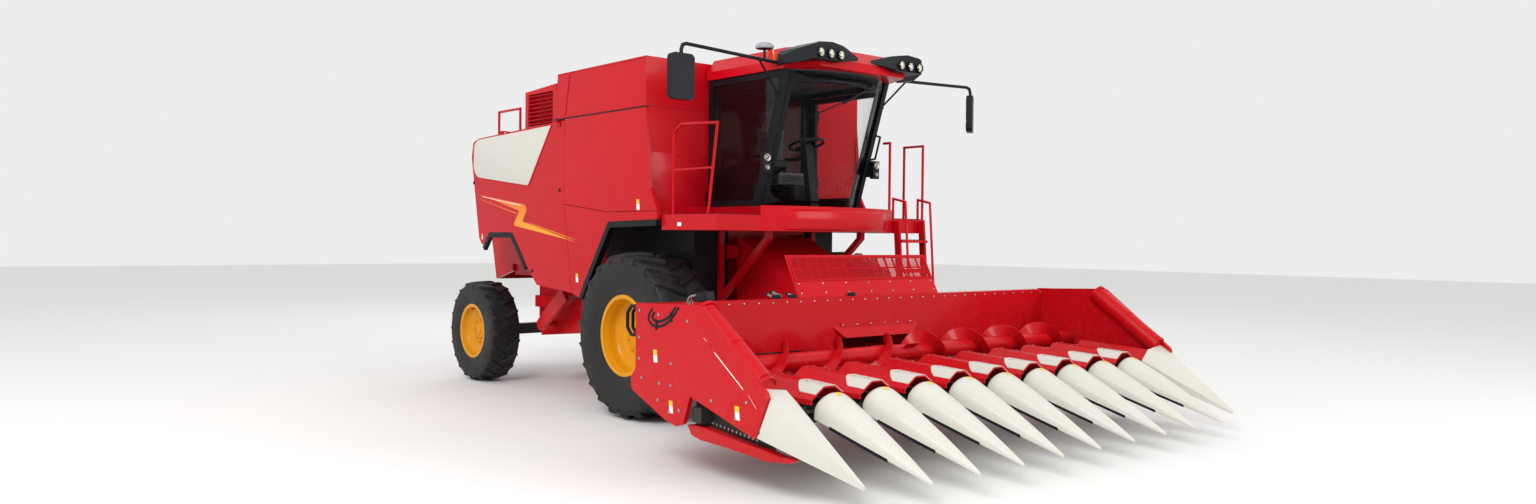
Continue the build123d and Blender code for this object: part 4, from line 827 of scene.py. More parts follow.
def snout_at(y):
    """Half width, bottom, side height and top of a snout at a place along it."""
    share = min(max((SNOUT_BACK - 0.06 - y) / (SNOUT_BACK - 0.06 - SNOUT_TIP), 0), 1)
    swell = 0.02 * math.sin(math.pi * share) ** 0.9
    half, bottom, side, top = (a + (b - a) * share for a, b in SNOUT_ENDS)
    dome = max(0.0, min(1.0, (SNOUT_BACK - y) / 0.14))
    lift = math.sqrt(max(0.0, 1 - (1 - dome) ** 2))
    half *= 0.86 + 0.14 * lift
    top = side + (top - side) * (0.62 + 0.38 * lift)
    return half + 0.5 * swell, bottom, side, top + swell


def on_arch(x0, y, turn, lift=0.0):
    """A place on a snout's arched top, by its angle round from the right side."""
    half, _, side, top = snout_at(y)
    return at(x0 - half * math.cos(turn), y, side + (top - side) * math.sin(turn) ** 0.92 + lift)


def snout_ring(x0, y, steps=22):
    """One closed section: an arch over two short walls that turn in at the bottom."""
    half, bottom = snout_at(y)[:2]
    curl = min(0.012, 0.25 * half)
    foot = [(half, bottom + curl), (half - curl, bottom), (curl - half, bottom), (-half, bottom + curl)]
    return [on_arch(x0, y, math.pi * i / steps) for i in range(steps + 1)] + [at(x0 + u, y, z) for u, z in foot]


def snout(x0):
    """One moulded snout, its sections closest where the dome curves most."""
    drops = (0.0, 0.004, 0.012, 0.026, 0.045, 0.07, 0.1, 0.14, 0.2, 0.28)
    stations = [SNOUT_BACK - d for d in drops]
    stations += [stations[-1] - (stations[-1] - SNOUT_TIP) * i / 14 for i in range(1, 15)]
    return swept([snout_ring(x0, y) for y in stations])


def solids_of(node, chosen, soften=0.0):
    """A merged copy of those solids of a node whose box is chosen, with softened edges."""
    bm = bmesh.new()
    bm.from_mesh(NODES[node].data)
    bmesh.ops.remove_doubles(bm, verts=bm.verts, dist=1e-5)
    wanted = [box for box in islands(node) if chosen(*box)]
    slack = Vector((1e-4, 1e-4, 1e-4))
    away = [
        v for v in bm.verts
        if not any(all(lo <= c <= hi for lo, c, hi in zip(low - slack, v.co, high + slack)) for low, high in wanted)
    ]
    bmesh.ops.delete(bm, geom=away, context="VERTS")
    bmesh.ops.dissolve_limit(bm, angle_limit=0.01, verts=bm.verts, edges=bm.edges)
    if soften:
        sharp = [e for e in bm.edges if len(e.link_faces) == 2 and e.calc_face_angle(0) > 0.3]
        bmesh.ops.bevel(bm, geom=sharp, offset=soften, segments=2, affect="EDGES", profile=0.6, clamp_overlap=True)
    mesh = bpy.data.meshes.new(node)
    bm.to_mesh(mesh)
    bm.free()
    return mesh


dividers = solids_of("snouts", lambda low, high: max(abs(low.x), abs(high.x)) > 2.8, 0.004)
made = keep("moulded_snouts", [snout(x) for x in SNOUT_X] + [dividers], pale_enamel, "header")
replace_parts(made, "snouts")
print("snouts:", len(made.data.polygons), "faces")

# %% Crescents, marks and strips
HOOD_REAR, HOOD_RISE, HOOD_HALF = -2.72, (0.835, 0.795), (0.238, 0.2)       # at the hood's rear and front
RIDGE_HALF, HOOD_FOOT = 0.06, 0.7


def on_hood(u, y):
    """The height of a hood's surface, u metres off its middle."""
    share = (HOOD_REAR - y) / (HOOD_REAR - SNOUT_BACK)
    ridge, half = (a + (b - a) * share for a, b in (HOOD_RISE, HOOD_HALF))
    return ridge - (ridge - HOOD_FOOT) * max(abs(u) - RIDGE_HALF, 0) / (half - RIDGE_HALF)


def crescent(x0):
    """A plate that lies over the front end of a hood, its rear edge an arc."""
    rows = []
    for i in range(15):
        u = -0.15 + 0.3 * i / 14
        front, back = SNOUT_BACK + 0.004, -3.245 - 5.7 * u * u
        section = ((front, 0.001), (front, 0.007), (back - 0.004, 0.007), (back, 0.001))
        rows.append([at(x0 + u, y, on_hood(u, y) + lift) for y, lift in section])
    return swept(rows)


keep("hood_crescents", [crescent(x) for x in SNOUT_X], pale_enamel, "header")
spots = [(x + u, y, on_hood(0, y) + 0.006) for x in SNOUT_X for u, y in ((-0.04, -3.34), (0.04, -3.34), (0, -3.46))]
spots += [(x + u, y, on_hood(0, y)) for x in SNOUT_X for u in (-0.045, 0.045) for y in (-2.76, -2.95)]
keep_heads("hood_rivets", spots, "+z", 0.009, 0.005, bright_steel, "header", 10)

yellow_mark = Finish("yellow_mark", Roughness=0.4, Base_Color=colour("#F0BE1E")).material
# Plain white for printed marks, and for the painted highlight strips on the header's end sheets.
white_mark = Finish("white_mark", Roughness=0.45, Base_Color=colour("#F1EFE9")).material


def draped(x0, y0, wide, long, steps=4):
    """A small sticker that follows the top of a snout."""
    rows = []
    for y in (y0 - long / 2 + long * i / steps for i in range(steps + 1)):
        half = snout_at(y)[0]
        rows.append([on_arch(x0, y, math.acos(-wide * (j / steps - 0.5) / half), 0.0012) for j in range(steps + 1)])
    return mesh_of(lambda bm: net(bm, rows))


keep("snout_marks", [draped(x, -3.66, 0.045, 0.05) for x in SNOUT_X], yellow_mark, "header")


def snout_strip(x0, side):
    """A rubber strip along a snout's lower edge."""
    rows = []
    for y in (-3.74 - 0.52 * i / 8 for i in range(9)):
        half, bottom = snout_at(y)[:2]
        section = ((-0.004, -0.004), (0.005, -0.004), (0.005, 0.018), (-0.004, 0.022))
        rows.append([at(x0 + side * (half + u), y, bottom + v) for u, v in section])
    return swept(rows)


strips = [snout_strip(x, side) for x in SNOUT_X for side in (-1, 1)]
keep("snout_strips", strips, black_trim, "header")
print("crescents and strips:", len(SNOUT_X), len(strips))

# %% [markdown]
# ## The cab's glass
# The windscreen is bonded: a black ceramic border is fired onto the edge of the glass and hides the
# glue. It is a thin skin on the pane's front, between an outline and a rounded window. Under the
# roof a dark lining closes the cab, and a rubber mat covers its floor.

# %% Windscreen border, lining and mat
FLOOR_Z, CAB_TOP = 2.29, 3.69
PILLAR_FOOT, PILLAR_HEAD = -1.0, -1.45
GLASS_HALF, GLASS_BOW = 0.7097, 0.3
BOW_RADIUS = (GLASS_HALF ** 2 + GLASS_BOW ** 2) / (2 * GLASS_BOW)

for glazed in ("windscreen", "door_glass"):
    for socket in NODES[glazed].material_slots:
        socket.material = screen_glass


def leaning(z):
    """The y of the front pillars' front edge at a height."""
    return PILLAR_FOOT + (PILLAR_HEAD - PILLAR_FOOT) * (z - FLOOR_Z) / (CAB_TOP - FLOOR_Z)


def on_screen(x, z, lift=0.001):
    """A place on the windscreen's front, lifted off it."""
    arc = BOW_RADIUS - math.sqrt(BOW_RADIUS ** 2 - x * x)
    return at(x, leaning(z) + 0.035 - GLASS_BOW + arc - lift, z)


def rounded(half_u, low, high, radius, steps=8):
    """An upright rectangle's outline with round corners, as (u, v) points."""
    points = []
    for corner, (u, v) in enumerate(((half_u, high), (-half_u, high), (-half_u, low), (half_u, low))):
        inward = (-1 if u > 0 else 1, -1 if v == high else 1)
        for i in range(steps + 1):
            turn = math.pi / 2 * (corner + i / steps)
            points.append((
                u + inward[0] * radius + radius * math.cos(turn), v + inward[1] * radius + radius * math.sin(turn),
            ))
    return points


inner = rounded(GLASS_HALF - 0.06, FLOOR_Z + 0.075, CAB_TOP - 0.085, 0.13)
outer = rounded(GLASS_HALF - 0.001, FLOOR_Z + 0.003, CAB_TOP - 0.003, 0.002)
rows = [
    [on_screen(a[0] + (b[0] - a[0]) * share, a[1] + (b[1] - a[1]) * share) for a, b in zip(inner, outer)]
    for share in (0, 0.33, 0.66, 1)
]
keep("windscreen_border", mesh_of(lambda bm: net(bm, rows, closed_row=True)), black_trim, "machine")

arc = [(x, leaning(CAB_TOP - 0.004) + 0.055 - GLASS_BOW + BOW_RADIUS - math.sqrt(BOW_RADIUS ** 2 - x * x))
       for x in (0.7, 0.56, 0.42, 0.28, 0.14, 0, -0.14, -0.28, -0.42, -0.56, -0.7)]
lining = cut_plate([(-0.705, -0.215), (0.705, -0.215)] + arc, "z", CAB_TOP - 0.012, CAB_TOP - 0.002)
keep("roof_lining", lining, blue_box, "machine")
mat = [(-0.7, -0.215), (0.7, -0.215), (0.7, -0.97), (0.45, -1.1), (-0.45, -1.1), (-0.7, -0.97)]
keep("floor_mat", cut_plate(mat, "z", FLOOR_Z + 0.001, FLOOR_Z + 0.008), black_trim, "machine")
blind = [on_screen(-0.62 + 1.24 * i / 10, CAB_TOP - 0.1, -0.05) for i in range(11)]
keep("sun_blind", pipe(blind, 0.028, sides=4), black_trim, "machine")

# %% Wiper, parked at the top
wiper = [
    pipe([on_screen(0.3, 3.6, 0.012), on_screen(0.02, 3.455, 0.028), on_screen(-0.12, 3.375, 0.02)], 0.008),
    pipe([on_screen(0.25, 3.575, 0.012), on_screen(0.0, 3.43, 0.028), on_screen(-0.12, 3.36, 0.02)], 0.005),
    pipe([on_screen(0.1 - 0.56 * i / 8, 3.5 - 0.29 * i / 8, 0.009) for i in range(9)], 0.007),
    moved(stud(0.026, 0.028, 12), on_screen(0.28, 3.595, 0.001), (90, 0, 0)),
]
keep("screen_wiper", wiper, black_trim, "machine")
print("windscreen bow radius:", round(BOW_RADIUS, 3))

# %% [markdown]
# ## Lamps
# Each work lamp is a turned set: a bezel, a bright bowl and a bulb behind a domed lens. The same
# profiles serve the six lamps in the roof pods and, smaller, the lamps on the front pillars.

# %% Turned lamps
def lamp_set(place, radius, deep):
    """Bezel, bowl and lens of one lamp, whose lens's face is at the place and looks along -Y."""
    bezel = [(-1, 0, 0.97), (-1, 0, 1), (0, -0.004, 1), (0, 0.004, 0.98), (0, 0.006, 0.93), (0, 0.003, 0.86),
             (0, -0.004, 0.84), (0, -0.01, 0.86)]
    bowl = [(0, -0.008, 0.855), (-0.35, 0, 0.8), (-0.7, 0, 0.55), (-0.95, 0, 0.2), (-0.95, 0, 0.11), (-0.35, 0, 0.11),
            (-0.22, 0, 0.06), (-0.2, 0, 0), (-1, 0, 0), (-1, 0, 0.25), (-0.75, 0, 0.62), (-0.35, 0, 0.86)]
    lens = [(0, -0.006, 0.845), (0, -0.001, 0.6), (0, 0.003, 0.3), (0, 0.004, 0), (0, 0.0015, 0), (0, 0.0005, 0.3),
            (0, -0.0035, 0.6), (0, -0.0085, 0.845)]
    made = []
    for profile in (bezel, bowl, lens):     # (share of the depth, metres forward, share of the radius)
        points = [(share * deep + ahead, out * radius or 0.001) for share, ahead, out in profile]
        made.append(moved(turned(points, Vector(), 28), place, (0, 0, -90)))
    return made


def lamps(name, node, bezel_finish, deep):
    """Turned lamps in place of a node's plain lenses."""
    sets = []
    for low, high in islands(node):
        centre = (low + high) / 2
        sets.append(lamp_set(Vector((centre.x, low.y + 0.006, centre.z)), (high.z - low.z) / 2, deep))
    bezels, bowls, lenses = zip(*sets)
    keep(f"{name}_bezels", bezels, bezel_finish, "machine")
    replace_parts(keep(f"{name}_bowls", bowls, reflector, "machine"), node)
    keep(f"{name}_lenses", lenses, lamp_lens, "machine")
    return len(sets)


chrome = Finish("chromed_plastic", Metallic=1.0, Roughness=0.1, Base_Color=colour("#E2E4E6")).material
print("roof lamps:", lamps("roof_lamp", "roof_lamps", black_trim, 0.026))
print("pillar lamps:", lamps("pillar_lamp", "pillar_lamps", chrome, 0.013))

# %% Receiver cap and mirror glass
grey_plastic = grained("grey_plastic", "#9FA3A8", "#8B8F95", 0.004, 0.0002, (0.35, 0.5))
cap = turned([(0.0, 0.087), (0.012, 0.094), (0.024, 0.0945), (0.04, 0.086), (0.055, 0.066), (0.064, 0.038),
              (0.0675, 0.001), (0.06, 0.001), (0.0, 0.08)], Vector(), 32)
keep("receiver_cap", moved(cap, at(-1.02, -1.4, 3.86), (0, -90, 0)), grey_plastic, "machine")

MIRROR_X, MIRROR_Y, MIRROR_BACK = 2.13, -1.5, -1.465
MIRROR_TURN = {-1: 0.0, 1: 35.0}        # the left head is turned to look along the machine
panes, rims = [], []
for side in BOTH:
    pivot = Matrix.Translation(at(side * MIRROR_X, MIRROR_Y, 0))
    swing = pivot @ Matrix.Rotation(math.radians(MIRROR_TURN[side]), 4, "Z") @ pivot.inverted()
    for low, high in ((3.375, 3.65), (3.262, 3.36)):
        flat = [(side * MIRROR_X + u, v) for u, v in rounded(0.115, low, high, 0.028, 5)]
        glass = cut_plate(flat, "y", MIRROR_BACK, MIRROR_BACK + 0.002)
        glass.transform(swing)
        panes.append(glass)
        rims.append(pipe([swing @ at(u, MIRROR_BACK + 0.001, v) for u, v in flat], 0.005, closed=True, sides=2))
keep("mirror_panes", panes, mirror_glass, "machine")
keep("mirror_rims", rims, black_trim, "machine")

# %% [markdown]
# ## Inside the cab
# Through the glass one sees the steering wheel, the screen on its arm, the lever console and the
# suspended seat. The wheel is a padded ring on three spokes, so the ring is a closed tube.

# %% Steering wheel, screen and levers
WHEEL_PLACE, WHEEL_RADIUS, WHEEL_TILT = at(0, -0.94, 2.994), 0.19, -math.atan2(190, 700)
tilt = Matrix.Rotation(WHEEL_TILT, 3, "X")
turns = [2 * math.pi * i / 28 for i in range(28)]
ring = [WHEEL_PLACE + tilt @ Vector((WHEEL_RADIUS * math.cos(t), WHEEL_RADIUS * math.sin(t), 0)) for t in turns]
keep("steering_grip", pipe(ring, 0.015, closed=True, sides=4), black_trim, "machine")

shell = cut_plate(oblong(-0.8, -0.66, 2.96, 3.17), "x", -0.6, -0.565, 0.008)
arm = pipe([(-0.585, -0.72, 2.72), (-0.585, -0.74, 2.9), (-0.585, -0.73, 2.98)], 0.012)
keep("terminal", [shell, arm], black_trim, "machine")
lever = pipe([(-0.445, -0.86, 2.74), (-0.445, -0.87, 2.84), (-0.44, -0.865, 2.9)], 0.012, smooth=True)
knob = turned([(0, 0.016), (0.02, 0.026), (0.06, 0.03), (0.09, 0.022), (0.1, 0.001), (0.0, 0.001)], Vector(), 16)
moved(knob, at(-0.44, -0.865, 2.885), (0, -90, 0))
small = [pipe([(x, -0.74, 2.69), (x, -0.75, 2.75)], 0.006) for x in (-0.5, -0.45, -0.4)]
keep("drive_lever", [lever, knob] + small, black_trim, "machine")
keys = cut_plate(oblong(-0.52, -0.38, -0.66, -0.46), "z", 2.759, 2.768, 0.003)
keep("console_keys", keys, grey_plastic, "machine")
print("wheel tilt:", round(math.degrees(WHEEL_TILT), 1), "degrees")

# %% [markdown]
# ## Body panels
# The side is a few large double-skinned panels, so what tells their size is what lies on them: a black
# strip painted as the shade in the gap under the tank's collar, the collar's vertical joint, the gold flash
# on the side, the pale panel's soft edge, latches and small blank plates. Flat trim is cut as thin plates;
# the flash is split where the hinged shield meets the fixed panel, so that each half moves with its own panel.

# %% Flat film finishes
def film(name, low_tone, high_tone, low_z, high_z):
    """Printed film whose tone runs with height, under a faint mottle."""
    made = Finish(name, Roughness=0.4, IOR=1.4)
    height = made.height()
    wander = made.sum("MULTIPLY", made.noise(6.0, 3.0), 0.08)
    share = made.ranged(made.sum("ADD", height, wander), low_z, high_z, 0.0, 1.0)
    return made.feed(Base_Color=made.mix(share, low_tone, high_tone))


gold_film = film("gold_film", "#F0A21A", "#E2601C", 2.05, 2.5)
white_film = film("white_film", "#EDEBE2", "#E2E0D8", 0.4, 2.5)
BODY_SKIN = 1.6


def on_side(side, points, lift=0.0008, skin=BODY_SKIN):
    """A thin film on a side face, from (y, z) points, round both its faces."""
    return side_plate(side, points, skin + 0.0002, skin + lift)


# %% The gold flash
FLASH = {                   # (y, z) outlines on each panel
    "shield": [
        [(3.9, 2.512), (2.56, 2.352), (2.475, 2.33), (2.455, 2.262), (2.56, 2.135), (1.472, 1.924), (1.468, 1.916),
         (2.76, 2.08), (2.775, 2.112), (2.64, 2.268), (3.45, 2.44)],
        [(3.8, 2.452), (2.7, 2.236), (2.705, 2.226), (3.72, 2.43)],
        [(2.4, 2.118), (1.471, 1.952), (1.47, 1.945), (2.3, 2.092)],
    ],
    "machine": [
        [(1.458, 1.921), (1.27, 1.885), (1.456, 1.914)],
        [(1.46, 1.95), (1.2, 1.9), (1.459, 1.943)],
    ],
}
for hand, side in SIDES.items():
    shield = f"shield_{hand}"
    for panel, outlines in FLASH.items():
        body = shield if panel == "shield" else "machine"
        flash = [on_side(side, points) for points in outlines]
        keep(f"gold_flash_{panel}_{hand}", flash, gold_film, body)
    inlay = on_side(side, [(3.72, 2.478), (2.6, 2.34), (2.62, 2.332), (3.6, 2.456)], 0.0012)
    keep(f"white_flash_{hand}", inlay, white_film, shield)
print("flash outlines:", {panel: len(outlines) for panel, outlines in FLASH.items()})

# %% The pale panel's soft edge, arch edging and the painted shade under the collar
PALE_LIP = [(1.835, 3.285), (2.395, 2.565), (3.905, 2.728), (3.93, 2.75), (2.405, 2.58), (1.855, 3.285)]
ARCH_EDGE = [(2.445, 1.585), (2.62, 1.785), (2.83, 1.995), (3.47, 1.995), (3.655, 1.795), (3.6, 1.755),
             (3.44, 1.925), (2.87, 1.925), (2.68, 1.735), (2.5, 1.53)]
COLLAR_SHADE_LOW, COLLAR_SHADE_HIGH = 3.334, 3.349
for hand, side in SIDES.items():
    shield, panel = f"shield_{hand}", f"pale_panel_{hand}"
    soft = solids_of(panel, lambda low, high: True, 0.0045)
    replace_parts(keep(f"moulded_{panel}", soft, pale_enamel, shield), panel)
    keep(f"pale_panel_lip_{hand}", on_side(side, PALE_LIP, 0.006), red_enamel, shield)
    keep(f"rear_arch_edging_{hand}", side_plate(side, ARCH_EDGE, 1.556, 1.604, 0.003), black_trim, shield)
    # A black strip in the gap under the tank's collar: painted shade.
    strip = on_side(side, oblong(-0.15, 1.8, COLLAR_SHADE_LOW, COLLAR_SHADE_HIGH), 0.0012)
    keep(f"collar_gap_{hand}", strip, black_trim, "machine")
# The same painted shade runs under the collar's front.
front_collar_shade = cut_plate(oblong(-1.6, 1.6, COLLAR_SHADE_LOW, COLLAR_SHADE_HIGH), "y", -0.1513, -0.1502)
keep("collar_gap_front", front_collar_shade, black_trim, "machine")

# %% [markdown]
# ### The tank's collar
# Its sheets are folded and bolted: a lapped joint stands near the rear and a folded hem runs round the top.
# The front wall's two shallow pressed beads are left out. Bolt heads stand along the foot.

# %% Collar joints and bolts
COLLAR_FOLDS = [            # (y, z) outline and thickness of the lapped joint, the hem and the foot
    ([(1.415, 3.87), (1.45, 3.87), (1.555, 3.368), (1.52, 3.368)], 0.006),
    ([(-0.148, 3.879), (-0.148, 3.862), (1.7, 3.862), (1.694, 3.879)], 0.005),
    ([(-0.148, 3.352), (-0.148, 3.368), (1.782, 3.368), (1.784, 3.352)], 0.005),
]
COLLAR_BOLTS = between((-0.08, 3.36), (1.72, 3.36), 13), between((1.433, 3.83), (1.533, 3.4), 6)
bolts = []
for hand, side in SIDES.items():
    folds = [on_side(side, points, thick) for points, thick in COLLAR_FOLDS]
    keep(f"collar_folds_{hand}", folds, red_enamel, "machine")
    for row in COLLAR_BOLTS:
        spots = [(side * (BODY_SKIN + 0.0055), *spot) for spot in row]
        bolts.append(heads(spots, OUTWARD[side], 0.009, 0.005, red_enamel))
keep("collar_bolts", bolts, red_enamel, "machine")
print("collar bolts:", len(SIDES) * sum(len(row) for row in COLLAR_BOLTS))

# %% Blank plates, latches and fixings on the sides
def plate_parts(y, z, tall, skin, lean=0.1):
    """A blank two-tone plate on the right side: its yellow head and its white foot, leaning a little."""
    def part(low, high):
        half = 0.25 * tall
        quad = [(y - half + lean * low, z + low), (y + half + lean * low, z + low),
                (y + half + lean * high, z + high), (y - half + lean * high, z + high)]
        return on_side(SIDES["right"], quad, 0.001, skin)

    return part(0.1 * tall, tall / 2), part(-tall / 2, 0.08 * tall)


SIDE_PLATES = {             # body: (y, z, height) of its blank plates
    "machine": [(-0.02, 2.3, 0.11), (1.225, 1.47, 0.1)],
    "shield": [(3.668, 1.936, 0.07)],
    "header": [(-2.256, 0.96, 0.105), (-2.483, 0.563, 0.1), (-3.339, 0.624, 0.105)],
}
for panel, plates in SIDE_PLATES.items():
    body = "shield_right" if panel == "shield" else panel
    skin = HEADER_HALF if panel == "header" else BODY_SKIN
    yellow, white = zip(*(plate_parts(*plate, skin) for plate in plates))
    keep(f"blank_plates_yellow_{panel}", yellow, yellow_mark, body)
    keep(f"blank_plates_white_{panel}", white, white_mark, body)

# White strips painted as the highlight along the edge flange under each crest.
EDGE_HIGHLIGHT = [
    [(-2.905, 1.166), (-2.925, 1.158), (-3.035, 1.083), (-3.018, 1.098)],
    [(-3.05, 1.066), (-3.062, 1.048), (-3.41, 0.806), (-3.4, 0.822)],
    [(-3.462, 0.782), (-3.478, 0.765), (-3.565, 0.682), (-3.55, 0.7)],
]
LATCHES = [(1.64, 2.5), (3.92, 2.66), (2.3, 1.52)]
for hand, side in SIDES.items():
    # Painted highlight: white strips along each end sheet's edge flange.
    highlight_strips = [on_side(side, points, 0.0008, HEADER_HALF) for points in EDGE_HIGHLIGHT]
    keep(f"edge_tape_{hand}", highlight_strips, white_mark, "header")
    places = [at(side * (BODY_SKIN + 0.0002), y, z) for y, z in LATCHES]
    latches = [moved(stud(0.022, 0.01, 16), place, (0, side * 90, 0)) for place in places]
    keep(f"shield_latches_{hand}", latches, black_trim, f"shield_{hand}")
print("blank plates:", {panel: len(plates) for panel, plates in SIDE_PLATES.items()})

# %% [markdown]
# ## The header's guard
# The guard keeps grain off the feeder: a pressed plate whose window is closed by fine woven wire.
# Real wire stands 5 mm apart; it is drawn at 14 mm, so that it shows as a weave. Both sets of wires
# are rows of one thin bar that a tree repeats along the leaning plate.

# %% A tree that repeats a bar along a line
def row_tree():
    """Copies of the host mesh at equal steps."""
    tree, start, end = new_tree(
        "row_of_bars", Copies="NodeSocketInt", Step="NodeSocketVector", Finish="NodeSocketMaterial",
    )
    row = add(tree, "GeometryNodeMeshLine", {"Count": start["Copies"], "Offset": start["Step"]}, mode="OFFSET")
    bars = add(tree, "GeometryNodeInstanceOnPoints", {"Points": row.outputs[0], "Instance": start["Geometry"]})
    finish_tree(tree, bars.outputs[0], end, start)
    return tree


ROW = row_tree()


def bar(start, end, half):
    """A thin square bar between two machine places."""
    a, b = at(*start), at(*end)
    along = (b - a).normalized()
    side = along.cross(Vector((0, 0, 1)) if abs(along.z) < 0.8 else Vector((1, 0, 0))).normalized() * half
    up = along.cross(side).normalized() * half
    return swept([[p + side + up, p - side + up, p - side - up, p + side - up] for p in (a, b)])


GUARD_FOOT, GUARD_TOP, GUARD_LEAN = (-1.97, 1.3803), 1.79, 0.21
WINDOW_LOW, WINDOW_HIGH, WINDOW_HALF = 1.552, 1.764, 1.0
WIRE_PITCH, WIRE_HALF, FRAME_HALF = 0.014, 0.0019, 0.008


def on_guard(x, z, lift=0.002):
    """A place on the leaning guard's front face."""
    share = (z - GUARD_FOOT[1]) / (GUARD_TOP - GUARD_FOOT[1])
    return (x, GUARD_FOOT[0] + share * GUARD_LEAN - lift, z)


def wires(end, reach, step):
    """Parallel wires from the window's lower corner: the first one's end, how far they go, and the step."""
    first = bar(on_guard(-WINDOW_HALF, WINDOW_LOW), end, WIRE_HALF)
    return run_tree(ROW, first, Copies=int(reach / WIRE_PITCH) + 1, Step=step, Finish=red_enamel)


step_up = at(*on_guard(0, WINDOW_LOW + WIRE_PITCH)) - at(*on_guard(0, WINDOW_LOW))
guard = [
    wires(on_guard(-WINDOW_HALF, WINDOW_HIGH), 2 * WINDOW_HALF, (WIRE_PITCH, 0, 0)),
    wires(on_guard(WINDOW_HALF, WINDOW_LOW), WINDOW_HIGH - WINDOW_LOW, step_up),
]
# Carbon-black rubber is a very dark grey that never looks wet. Soil dries in the tread first; here it lies in large
# rough patches all over the tyre.
guard += [bar(on_guard(-1.01, z), on_guard(1.01, z), FRAME_HALF) for z in (1.545, 1.77)]
guard += [bar(on_guard(x, 1.545), on_guard(x, 1.77), FRAME_HALF) for x in (-1.005, 1.005)]
made = keep("guard_wire", guard, red_enamel, "header")
print("guard wires:", len(made.data.polygons), "faces")
spots = [on_guard(x, z, 0.0) for z in (1.42, 1.51) for x in (-0.98, -0.65, -0.33, 0, 0.33, 0.65, 0.98)]
keep_heads("guard_bolts", spots, "-y", 0.01, 0.006, bright_steel, "header")

# %% [markdown]
# ## The cross auger
# A welded screw: a thin steel band wound on a tube, right-handed on one half and left-handed on the
# other, so that it feeds to the middle. A helix is a rule, so its points come from one function.

# %% Flights and tube
AUGER_Y, AUGER_Z, TUBE_R, FLIGHT_R, PITCH = -2.4, 0.83, 0.083, 0.205, 0.68
AUGER_REACH, SHAFT_REACH, FLIGHT_TURNS, PER_TURN = 2.86, 2.893, 4, 40
auger_axis = at(0, AUGER_Y, AUGER_Z)


def auger_flight(start, hand):
    """One welded band, lower at both ends."""
    last = FLIGHT_TURNS * PER_TURN
    rows = []
    for i in range(last + 1):
        turn = -2 * math.pi * i / PER_TURN
        x = start + hand * PITCH * i / PER_TURN
        ends = min(i, last - i) / (0.2 * PER_TURN)
        reach = TUBE_R + (FLIGHT_R - TUBE_R) * (0.45 + 0.55 * min(1.0, ends))
        rows.append([
            at(x + s, AUGER_Y + r * math.cos(turn), AUGER_Z + r * math.sin(turn))
            for r, s in ((TUBE_R - 0.006, 0.0), (reach, 0.003), (reach, 0.009), (TUBE_R - 0.006, 0.012))
        ])
    return swept(rows)


def drum(low, high, inner, outer):
    """A ring on the auger's axis."""
    return turned([(low, inner), (low, outer), (high, outer), (high, inner)], auger_axis, 40)


def paddle(i):
    """One of the plates that throw the crop into the feeder."""
    turn, x = 2 * math.pi * i / 3 + 0.4, 0.22 * (i - 1)
    out = Vector((0, math.cos(turn), math.sin(turn)))
    flat = Vector((0, -math.sin(turn), math.cos(turn))) * 0.004
    section = oblong(TUBE_R - 0.004, 0.165, -1, 1)
    ends = [auger_axis + Vector((u, 0, 0)) for u in (x - 0.09, x + 0.09)]
    return swept([[end + out * r + flat * s for r, s in section] for end in ends])


auger = [drum(-AUGER_REACH, AUGER_REACH, 0.001, TUBE_R)]
auger += [drum(x - 0.02, x + 0.02, TUBE_R - 0.004, TUBE_R + 0.005) for x in (-2.83, -1.0, 1.0, 2.83)]
auger += [turned(oblong(side * AUGER_REACH, side * SHAFT_REACH, 0.029, 0.001), auger_axis, 20) for side in BOTH]
auger += [auger_flight(side * 2.8, -side) for side in BOTH] + [paddle(i) for i in range(3)]
made = keep("welded_cross_auger", auger, red_enamel, "cross_auger")
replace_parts(made, "cross_auger")
print("auger:", len(made.data.polygons), "faces")

# %% [markdown]
# ### Trim on the header
# Three rolled bands stand round each crest tube. At the right one's rear end the pipes leave a black
# connector in plated elbows. Each end sheet carries the divider's bolt and a small lever.

# %% Crest bands, connector and divider fixings
CREST_X, CREST_R = 2.82, 0.09
CREST_TOP, CREST_FOOT = Vector((0, -2.8, 1.368)), Vector((0, -3.63, 0.786))


def crest_band(side, share):
    """A raised band round the outside of a crest tube, an open arc over the side sheet."""
    along = (CREST_FOOT - CREST_TOP).normalized()
    centre = CREST_TOP + (CREST_FOOT - CREST_TOP) * share + Vector((side * CREST_X, 0, 0))
    upward = Vector((0, along.z, -along.y))
    rows = []
    for i in range(25):
        turn = math.radians(-100 + 200 * i / 24)
        out = upward * math.cos(turn) + Vector((-side, 0, 0)) * math.sin(turn)
        section = oblong(CREST_R - 0.001, CREST_R + 0.005, -0.012, 0.012)
        rows.append([at(*(centre + along * s + out * r)) for r, s in section])
    return swept(rows)


bands = [crest_band(side, share) for side in BOTH for share in (0.06, 0.46, 0.9)]
keep("crest_bands", bands, red_enamel, "header")

CONNECTOR_X, PIPE_GAP = -2.8, 0.018
box = cut_plate([(-2.85, 1.445), (-2.715, 1.43), (-2.7, 1.505), (-2.835, 1.525)], "x",
                CONNECTOR_X - 0.045, CONNECTOR_X + 0.045, 0.008)
keep("hose_connector", box, black_trim, "header")
elbow = [(-2.71, 1.485), (-2.62, 1.48), (-2.575, 1.455), (-2.565, 1.4), (-2.56, 1.33)]
across = (CONNECTOR_X - PIPE_GAP, CONNECTOR_X + PIPE_GAP)
elbows = [pipe([(x, y, z) for y, z in elbow], 0.011, smooth=True) for x in across]
nuts = [moved(stud(0.016, 0.022), at(x, -2.7, 1.485), (-90, 0, 0)) for x in across]
keep("hose_elbows", elbows + nuts, bright_steel, "header")
for hand, side in SIDES.items():
    bolt = [(side * 2.9185, -3.585, 0.511)]
    keep_heads(f"divider_bolt_{hand}", bolt, OUTWARD[side], 0.012, 0.0012, black_trim, "header", 10)
    lever = [(-2.548, 0.85), (-2.572, 0.85), (-2.6, 0.778), (-2.574, 0.778)]
    keep(f"sheet_lever_{hand}", side_plate(side, lever, 2.919, 2.9199), black_trim, "header")
print("crest bands:", len(bands))
